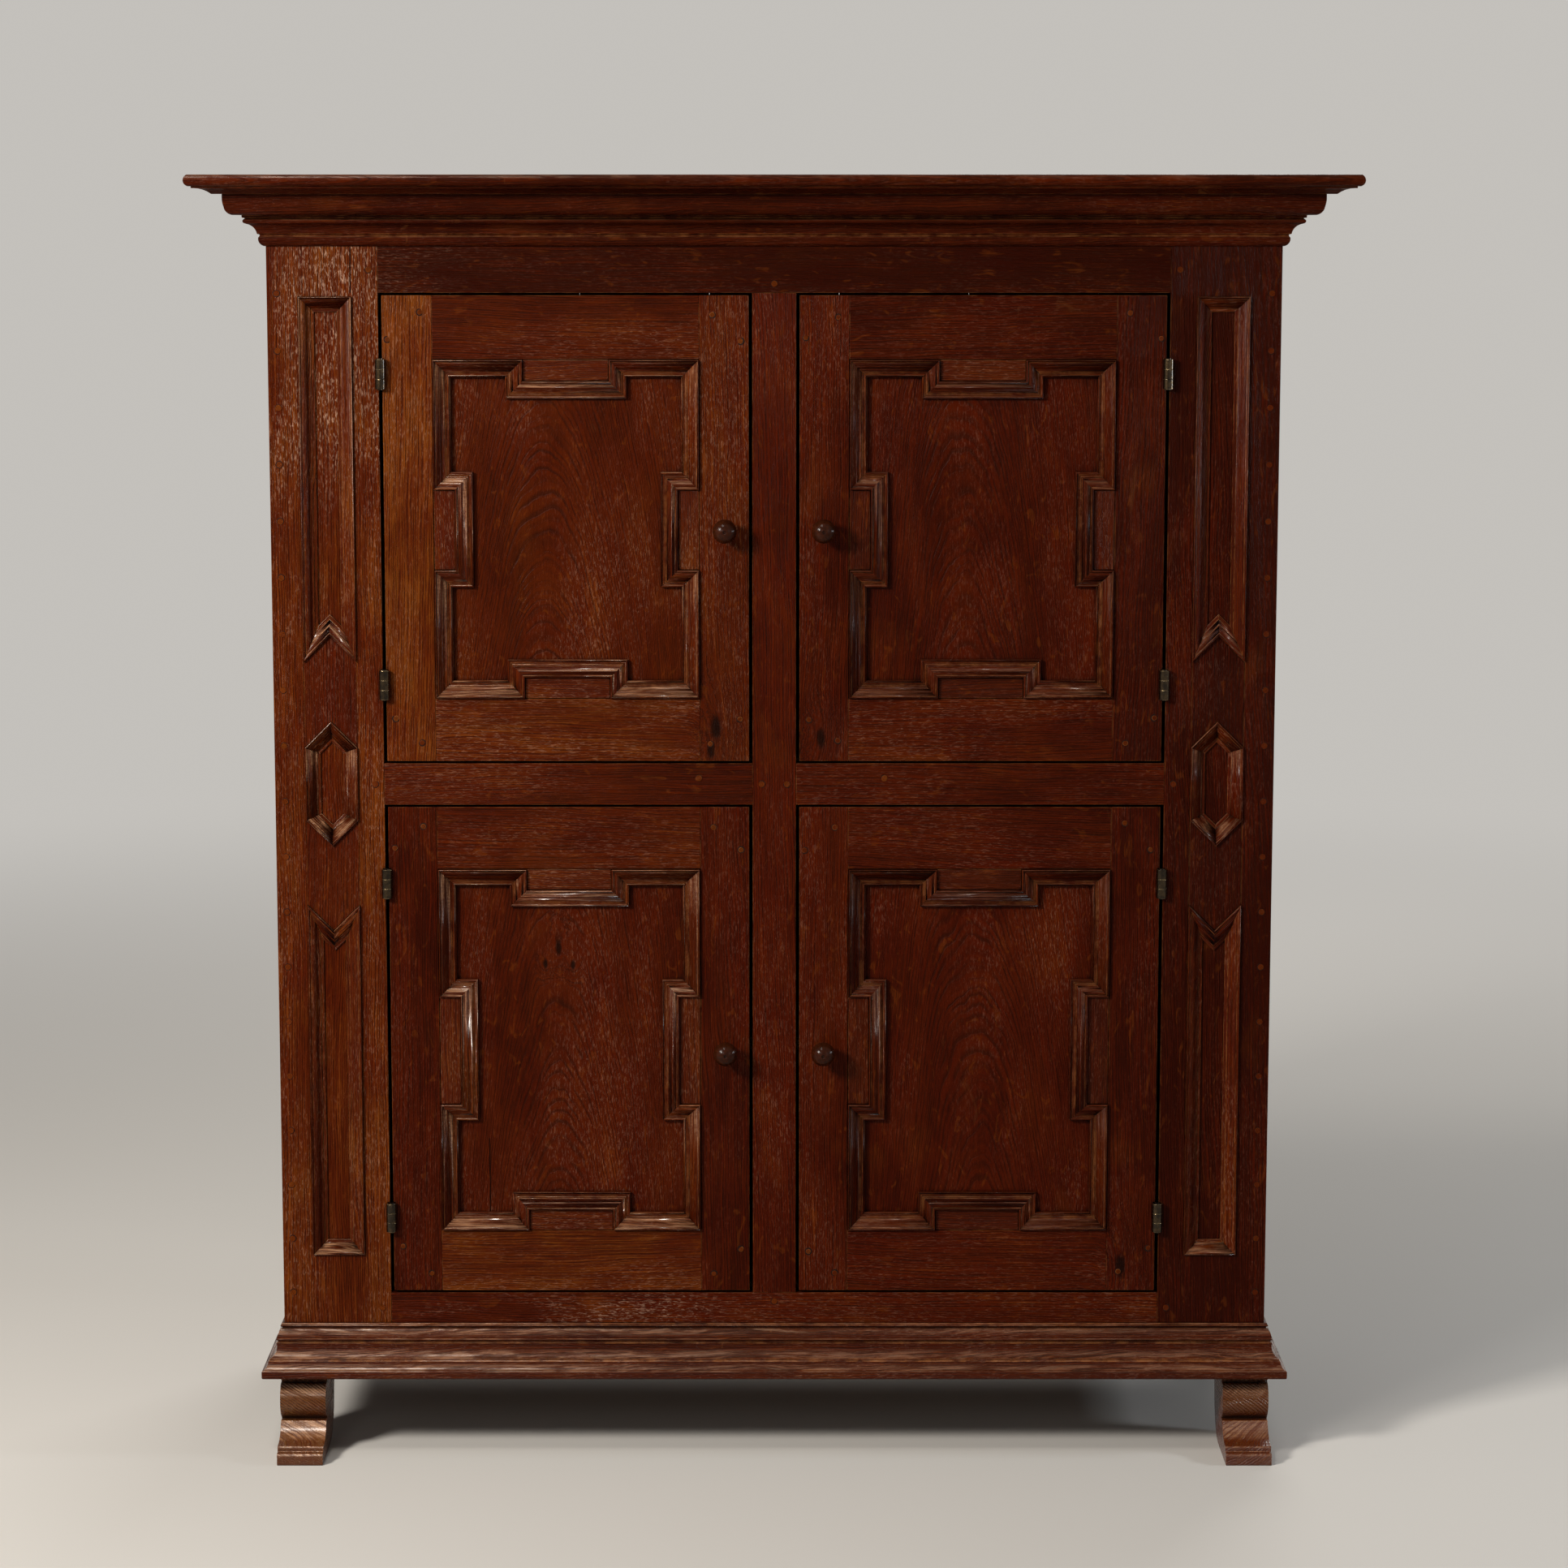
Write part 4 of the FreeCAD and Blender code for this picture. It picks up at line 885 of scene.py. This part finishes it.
def finish_piece(bm, name, finish, body, node=None, smooth=TURNED_SMOOTH):
    """Turns a mesh into an object with a material that rides on its body."""
    bmesh.ops.recalc_face_normals(bm, faces=bm.faces)
    mesh = bpy.data.meshes.new(name)
    bm.to_mesh(mesh)
    bm.free()
    mesh.polygons.foreach_set("use_smooth", [True] * len(mesh.polygons))
    mesh.set_sharp_from_angle(angle=math.radians(smooth))
    mesh.materials.append(FINISHES[finish])
    piece = bpy.data.objects.new(name, mesh)
    bpy.context.scene.collection.objects.link(piece)
    even = piece.modifiers.new("Even normals", "WEIGHTED_NORMAL")
    even.keep_sharp = True
    even.weight = 90
    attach(piece, body)
    if node:
        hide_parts(node)


# Small fasteners


def close(bm, rings, worn):
    """Joins rings of corners into a solid. The faces up to the third ring count as worn edges."""
    for low, high in zip(rings, rings[1:]):
        for i in range(len(low)):
            after = (i + 1) % len(low)
            face = bm.faces.new((low[i], low[after], high[after], high[i]))
            face[worn] = 1.0 if high is rings[2] else 0.0
    bm.faces.new(reversed(rings[0]))
    bm.faces.new(rings[-1])


def facing(direction):
    """The turn that points a head's axis in a direction."""
    return direction.to_track_quat("Z", "Y").to_matrix().to_4x4()


def buttons(name, places, radius, proud, direction, finish, body, sides=PEG_SIDES, around=0.0):
    """Round heads of pegs or nails at the given places, facing one way, each a little different."""
    bm = bmesh.new()
    log, tone, _, worn = wood_layers(bm)
    for count, place in enumerate(places):
        chance = random.Random(f"{name} {count}")
        size = radius * chance.uniform(0.92, 1.06)
        tilt = Vector((chance.uniform(-0.08, 0.08), chance.uniform(-0.08, 0.08)))
        wobble = [chance.uniform(0.94, 1.03) for _ in range(sides)]
        start = chance.uniform(0, LOG_LENGTH)
        shift = Vector((start, chance.uniform(-0.02, 0.02), chance.uniform(-0.02, 0.02)))
        matrix = Matrix.Translation(place) @ facing(direction)
        # Five tones take turns, so that neighbours differ.
        own_tone = (count * 7 % 5 - 2) * 0.25
        rings = []
        for share, height in PEG_RINGS:
            ring = []
            for i in range(sides):
                angle = 2 * math.pi * (i + 0.5) / sides
                reach = size * share * wobble[i]
                x, y = reach * math.cos(angle), reach * math.sin(angle)
                z = proud * height + (x * tilt.x + y * tilt.y if height > 0 else 0.0)
                vert = bm.verts.new(matrix @ Vector((x, y, z)))
                vert[log] = Vector((z, x, y)) + shift
                vert[tone] = around + chance.uniform(-0.1, 0.1) + own_tone
                ring.append(vert)
            rings.append(ring)
        close(bm, rings, worn)
    finish_piece(bm, name, finish, body)


def screws(name, places, direction, body):
    """Slotted screw heads in hinge leaves: two halves beside the slot, each head turned its own way."""
    bm = bmesh.new()
    worn = bm.faces.layers.float.new("edge")
    radius, proud = sizes().screw_radius, sizes().screw_proud
    start = math.asin(SLOT_SHARE)
    for count, place in enumerate(places):
        spin = Matrix.Rotation(random.Random(f"{name} {count}").uniform(0.0, math.pi), 4, "Z")
        matrix = Matrix.Translation(place) @ facing(direction) @ spin
        for half in (0.0, math.pi):
            slot = math.sin(half + start)
            angles = [
                half + start + (math.pi - 2 * start) * i / (SCREW_STEPS - 1) for i in range(SCREW_STEPS)
            ]
            rings = []
            for share, height in SCREW_RINGS:
                ring = []
                for angle in angles:
                    x = radius * share * math.cos(angle)
                    y = radius * (slot + share * (math.sin(angle) - slot))
                    ring.append(bm.verts.new(matrix @ Vector((x, y, proud * height))))
                rings.append(ring)
            close(bm, rings, worn)
    finish_piece(bm, name, "hinge_metal", body)


def peg_wax(body, places):
    """The dark wax round each peg."""
    wide, high = WAX_SHARES
    radius, proud = sizes().peg_radius * wide, sizes().peg_proud * high
    buttons(f"{body}_peg_wax", places, radius, proud, -Y, "old_wax", body)


def door_peg_places(door):
    """Two pegs in each corner of a door's frame, a little off the line."""
    low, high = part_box(f"door_{door}_stiles")
    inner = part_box(f"door_{door}_panel")[0].x - low.x + PANEL_TONGUE
    spots = ((inner - PEG_FROM_PANEL, PEG_NEAR_END), (PEG_FROM_EDGE, PEG_FAR_END))
    chance = random.Random(f"pegs {door}")
    places = []
    for side, edge in ((1, low.x), (-1, high.x)):
        for end, z in ((1, low.z), (-1, high.z)):
            for across, up in spots:
                x = edge + side * (across + chance.uniform(-PEG_OFF_ACROSS, PEG_OFF_ACROSS))
                rise = end * (up + chance.uniform(-PEG_OFF_UP, PEG_OFF_UP))
                places.append(Vector((x, low.y, z + rise)))
    return places


def back_nail_places():
    """Two nails through each end of each back board."""
    low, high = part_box("back_boards")
    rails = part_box("back_rails")
    pitch = (high.x - low.x) / BACK_BOARDS
    places = []
    for board in range(BACK_BOARDS):
        for z in (rails[0].z + NAIL_INSET, rails[1].z - NAIL_INSET):
            for side in (-NAIL_SHARE, NAIL_SHARE):
                x = low.x + pitch * (board + 0.5 + side)
                places.append(Vector((x, high.y - NAIL_SUNK, z + NAIL_STAGGER * side)))
    return places


# Stage


def make_floor(scene, pale):
    """A pale floor that melts into the background far from the press."""
    bm = bmesh.new()
    bmesh.ops.create_circle(bm, cap_ends=True, segments=FLOOR_SIDES, radius=FLOOR_RADIUS)
    mesh = bpy.data.meshes.new("floor")
    bm.to_mesh(mesh)
    bm.free()
    floor = bpy.data.objects.new("floor", mesh)
    scene.collection.objects.link(floor)
    tree, shader = material("studio_floor")
    mesh.materials.append(FINISHES["studio_floor"])
    surface = shader.outputs[0].links[0].to_node
    place = place_on(tree)
    grey = (0.6, 0.6, 0.6, 1)
    cloud = remap(tree, noise(tree, place, 1.4, detail=3.0), 0.3, 0.7, 0.0, 0.06)
    feed(tree, shader, {
        "Base Color": blend(tree, cloud, pale, grey), "Roughness": 0.85, "Specular IOR Level": 0.2,
    })
    path = put(tree, "LightPath").outputs
    seen = calc(tree, "MAXIMUM", path["Is Camera Ray"], path["Is Glossy Ray"])
    far = remap(tree, between(tree, "LENGTH", place)[1], FADE_FROM, FADE_TO)
    glow = put(tree, "Emission", {0: pale, 1: 1.0})
    mixed = put(tree, "MixShader", {0: times(tree, far, seen), 1: shader.outputs[0], 2: glow.outputs[0]})
    feed(tree, surface, {0: mixed.outputs[0]})


def make_background(scene, pale):
    """Soft light from all round, seen as the pale background."""
    world = bpy.data.worlds.new("studio")
    world.use_nodes = True
    tree = world.node_tree
    tree.nodes.clear()
    path = put(tree, "LightPath").outputs
    seen = calc(tree, "MAXIMUM", path["Is Camera Ray"], path["Is Transmission Ray"])
    seen = calc(tree, "MAXIMUM", seen, path["Is Glossy Ray"])
    soft = put(tree, "Background", {0: AIR_COLOUR, 1: AIR_STRENGTH})
    back = put(tree, "Background", {0: pale, 1: 1.0})
    mixed = put(tree, "MixShader", {0: seen, 1: soft.outputs[0], 2: back.outputs[0]})
    put(tree, "OutputWorld", {0: mixed.outputs[0]})
    scene.world = world


def make_lamps(scene):
    for name, place, size, power, tint in LAMPS:
        data = bpy.data.lights.new(name, "AREA")
        data.shape = "SQUARE"
        data.size = size
        data.energy = power
        data.color = tint
        lamp = bpy.data.objects.new(name, data)
        lamp.location = place
        lamp.rotation_mode = "QUATERNION"
        lamp.rotation_quaternion = (Vector(place) - LAMP_AIM).to_track_quat("Z", "Y")
        scene.collection.objects.link(lamp)


def make_camera(scene):
    data = bpy.data.cameras.new("camera")
    data.sensor_width = SENSOR_WIDTH
    data.lens = SENSOR_WIDTH * FOCAL_PIXELS / PICTURE_PIXELS
    data.shift_x = CAMERA_SHIFT
    camera = bpy.data.objects.new("camera", data)
    camera.location = CAMERA_PLACE
    camera.rotation_euler = (math.radians(90.0 - CAMERA_TILT), 0.0, 0.0)
    scene.collection.objects.link(camera)
    scene.camera = camera


# Operators


class PRESS_OT_materials(bpy.types.Operator):
    """Make the shared node groups and the materials"""

    bl_idname = "press.materials"
    bl_label = "Materials"
    bl_options = {"REGISTER", "UNDO"}

    def execute(self, context):
        make_materials()
        return {"FINISHED"}


class PRESS_OT_front_frame(bpy.types.Operator):
    """Dress the stiles, rails and muntin of the front frame"""

    bl_idname = "press.front_frame"
    bl_label = "Front frame"
    bl_options = {"REGISTER", "UNDO"}

    def execute(self, context):
        for node, grain, tones in FRAME_TONES:
            dress(node, "oak_frame", grain, tones=tones)
        return {"FINISHED"}


class PRESS_OT_sides(bpy.types.Operator):
    """Dress the framed sides"""

    bl_idname = "press.sides"
    bl_label = "Sides"
    bl_options = {"REGISTER", "UNDO"}

    def execute(self, context):
        for side in SIDES:
            dress(f"side_posts_{side}", "oak_frame", Z)
            dress(f"side_rails_{side}", "oak_frame", Y)
            dress(f"side_panels_{side}", "oak_panel", Z, "flat")
        return {"FINISHED"}


class PRESS_OT_doors(bpy.types.Operator):
    """Dress the frames and panels of the doors"""

    bl_idname = "press.doors"
    bl_label = "Doors"
    bl_options = {"REGISTER", "UNDO"}

    def execute(self, context):
        for door in DOORS:
            stiles, rails, panel = DOOR_TONES[door]
            dress(f"door_{door}_stiles", "oak_door", Z, tones=stiles)
            dress(f"door_{door}_rails", "oak_door", X, tones=rails)
            dress(f"door_{door}_panel", "oak_panel", Z, "flat", tones=panel)
        return {"FINISHED"}


class PRESS_OT_mouldings(bpy.types.Operator):
    """Dress the mitred mouldings of the doors and pilasters"""

    bl_idname = "press.mouldings"
    bl_label = "Mouldings"
    bl_options = {"REGISTER", "UNDO"}

    def execute(self, context):
        for door in DOORS:
            tone = DOOR_MOULDING_TONES[door.split("_")[1]]
            dress_moulding(f"door_{door}_moulding", "oak_moulding", tone, spread=EVEN_SPREAD)
        for side in SIDES:
            tone = PILASTER_TONES[side]
            dress_moulding(f"pilaster_moulding_{side}", "oak_moulding", tone, spread=EVEN_SPREAD)
        return {"FINISHED"}


class PRESS_OT_cornice_base(bpy.types.Operator):
    """Dress the cornice and the base moulding"""

    bl_idname = "press.cornice_base"
    bl_label = "Cornice and base"
    bl_options = {"REGISTER", "UNDO"}

    def execute(self, context):
        dress_moulding("cornice_top", "oak_cornice", CORNICE_TONE, X)
        for name, tone in (("cornice", CORNICE_TONE), ("base", BASE_TONE)):
            dress_moulding(f"{name}_front", f"oak_{name}", tone, X)
            dress_moulding(f"{name}_returns", f"oak_{name}", tone, Y)
        return {"FINISHED"}


class PRESS_OT_feet(bpy.types.Operator):
    """Dress the scrolled front feet and the rear feet"""

    bl_idname = "press.feet"
    bl_label = "Feet"
    bl_options = {"REGISTER", "UNDO"}

    def execute(self, context):
        for side in SIDES:
            dress(f"front_foot_{side}", "oak_foot", Y, smooth=MOULDING_SMOOTH)
        dress("rear_feet", "oak_foot", Z)
        return {"FINISHED"}


class PRESS_OT_inside(bpy.types.Operator):
    """Dress the back, the boards and shelves, their bearers and the turn buttons, and nail the back"""

    bl_idname = "press.inside"
    bl_label = "Inside and back"
    bl_options = {"REGISTER", "UNDO"}

    def execute(self, context):
        dress("back_boards", "oak_inside", Z, "flat", spread=EVEN_SPREAD)
        for node in ("back_rails", "bottom_board", "middle_board", "shelf_upper", "shelf_lower"):
            dress(node, "oak_inside", X, "flat", spread=EVEN_SPREAD)
        dress("shelf_bearers", "oak_inside", Y)
        for door in DOORS:
            dress(f"turn_button_{door}", "oak_inside", Z)
        buttons(
            "back_nails", back_nail_places(), sizes().nail_radius, NAIL_PROUD, Y, "iron", "carcass",
            NAIL_SIDES,
        )
        return {"FINISHED"}


class PRESS_OT_pegs(bpy.types.Operator):
    """Dress the pegs of the front frame and add those of the doors"""

    bl_idname = "press.pegs"
    bl_label = "Pegs"
    bl_options = {"REGISTER", "UNDO"}

    def execute(self, context):
        radius, proud = sizes().peg_radius, sizes().peg_proud
        middles = centres("frame_pegs")
        tones = [SHADED_PEG if middle.x > SHADED_PEGS_FROM else LIT_PEG for middle in middles]
        dress("frame_pegs", "oak_peg", Y, "end", edge=sizes().moulding_edge, tones=tones)
        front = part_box("front_middle_rails")[0].y
        places = [Vector((middle.x, front, middle.z)) for middle in middles]
        extra = [Vector((x, front, RAIL_PEG_HEIGHT)) for x in RAIL_PEGS]
        wide, high = RAIL_PEG_SHARES
        buttons("middle_rail_pegs", extra, radius * wide, proud * high, -Y, "oak_peg", "carcass")
        peg_wax("carcass", places + extra)
        for door in DOORS:
            body = f"door_{door}"
            places = door_peg_places(door)
            tone = DOOR_PEG_TONES[door.split("_")[1]]
            buttons(f"{body}_pegs", places, radius, proud, -Y, "oak_peg", body, around=tone)
            peg_wax(body, places)
        return {"FINISHED"}


class PRESS_OT_hinges(bpy.types.Operator):
    """Dress the butt hinges and add their screws"""

    bl_idname = "press.hinges"
    bl_label = "Hinges"
    bl_options = {"REGISTER", "UNDO"}

    def execute(self, context):
        dress("hinge_frame_leaves", "hinge_metal", Z, edge=LEAF_EDGE)
        dress("hinge_pins", "hinge_metal", Z, edge=PIN_EDGE)
        for door in DOORS:
            node, side = f"door_{door}_hinge_leaves", door.split("_")[1]
            dress(node, "hinge_metal", Z, edge=LEAF_EDGE)
            hung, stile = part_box(f"door_{door}_stiles"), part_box(f"front_stile_{side}")
            if side == "left":
                out, door_edge, frame_edge = -X, hung[0].x, stile[1].x
            else:
                out, door_edge, frame_edge = X, hung[1].x, stile[0].x
            spots = [
                (stile[0].y + SCREW_DEPTH + SCREW_BOW * step * step, middle.z + SCREW_PITCH * step)
                for middle in centres(node) for step in (-1, 0, 1)
            ]
            screws(f"door_{door}_screws", [Vector((door_edge, y, z)) for y, z in spots], out, f"door_{door}")
            screws(f"frame_{door}_screws", [Vector((frame_edge, y, z)) for y, z in spots], -out, "carcass")
        return {"FINISHED"}


class PRESS_OT_knobs(bpy.types.Operator):
    """Dress the turned knobs"""

    bl_idname = "press.knobs"
    bl_label = "Knobs"
    bl_options = {"REGISTER", "UNDO"}

    def execute(self, context):
        for door in DOORS:
            dress(f"knob_{door}", "knob_wood", Y, "end", edge=0.0, smooth=TURNED_SMOOTH)
        return {"FINISHED"}


class PRESS_OT_stage(bpy.types.Operator):
    """Set up the floor, the light and the camera"""

    bl_idname = "press.stage"
    bl_label = "Stage"
    bl_options = {"REGISTER", "UNDO"}

    def execute(self, context):
        scene = context.scene
        scene.view_settings.view_transform = "Standard"
        pale = rgba(colours().floor)
        make_floor(scene, pale)
        make_background(scene, pale)
        make_lamps(scene)
        make_camera(scene)
        return {"FINISHED"}


class VIEW3D_PT_press(bpy.types.Panel):
    """Sidebar panel with the press's settings and build steps"""

    bl_label = "Oak linen press"
    bl_idname = "VIEW3D_PT_press"
    bl_space_type = "VIEW_3D"
    bl_region_type = "UI"
    bl_category = "Press"

    def draw(self, context):
        layout = self.layout
        for settings in (context.scene.press_sizes, context.scene.press_colours):
            box = layout.box()
            for key in settings.__annotations__:
                box.prop(settings, key)
        for step in STEPS:
            layout.operator(step.bl_idname)


STEPS = (
    PRESS_OT_materials, PRESS_OT_front_frame, PRESS_OT_sides, PRESS_OT_doors, PRESS_OT_mouldings,
    PRESS_OT_cornice_base, PRESS_OT_feet, PRESS_OT_inside, PRESS_OT_pegs, PRESS_OT_hinges, PRESS_OT_knobs,
    PRESS_OT_stage,
)
CLASSES = (PressSizes, PressColours) + STEPS + (VIEW3D_PT_press,)


def register():
    for cls in CLASSES:
        bpy.utils.register_class(cls)
    bpy.types.Scene.press_sizes = bpy.props.PointerProperty(type=PressSizes)
    bpy.types.Scene.press_colours = bpy.props.PointerProperty(type=PressColours)


def unregister():
    del bpy.types.Scene.press_colours
    del bpy.types.Scene.press_sizes
    for cls in reversed(CLASSES):
        bpy.utils.unregister_class(cls)


def main():
    register()
    for step in STEPS:
        family, name = step.bl_idname.split(".")
        getattr(getattr(bpy.ops, family), name)()


if __name__ == "__main__":
    main()
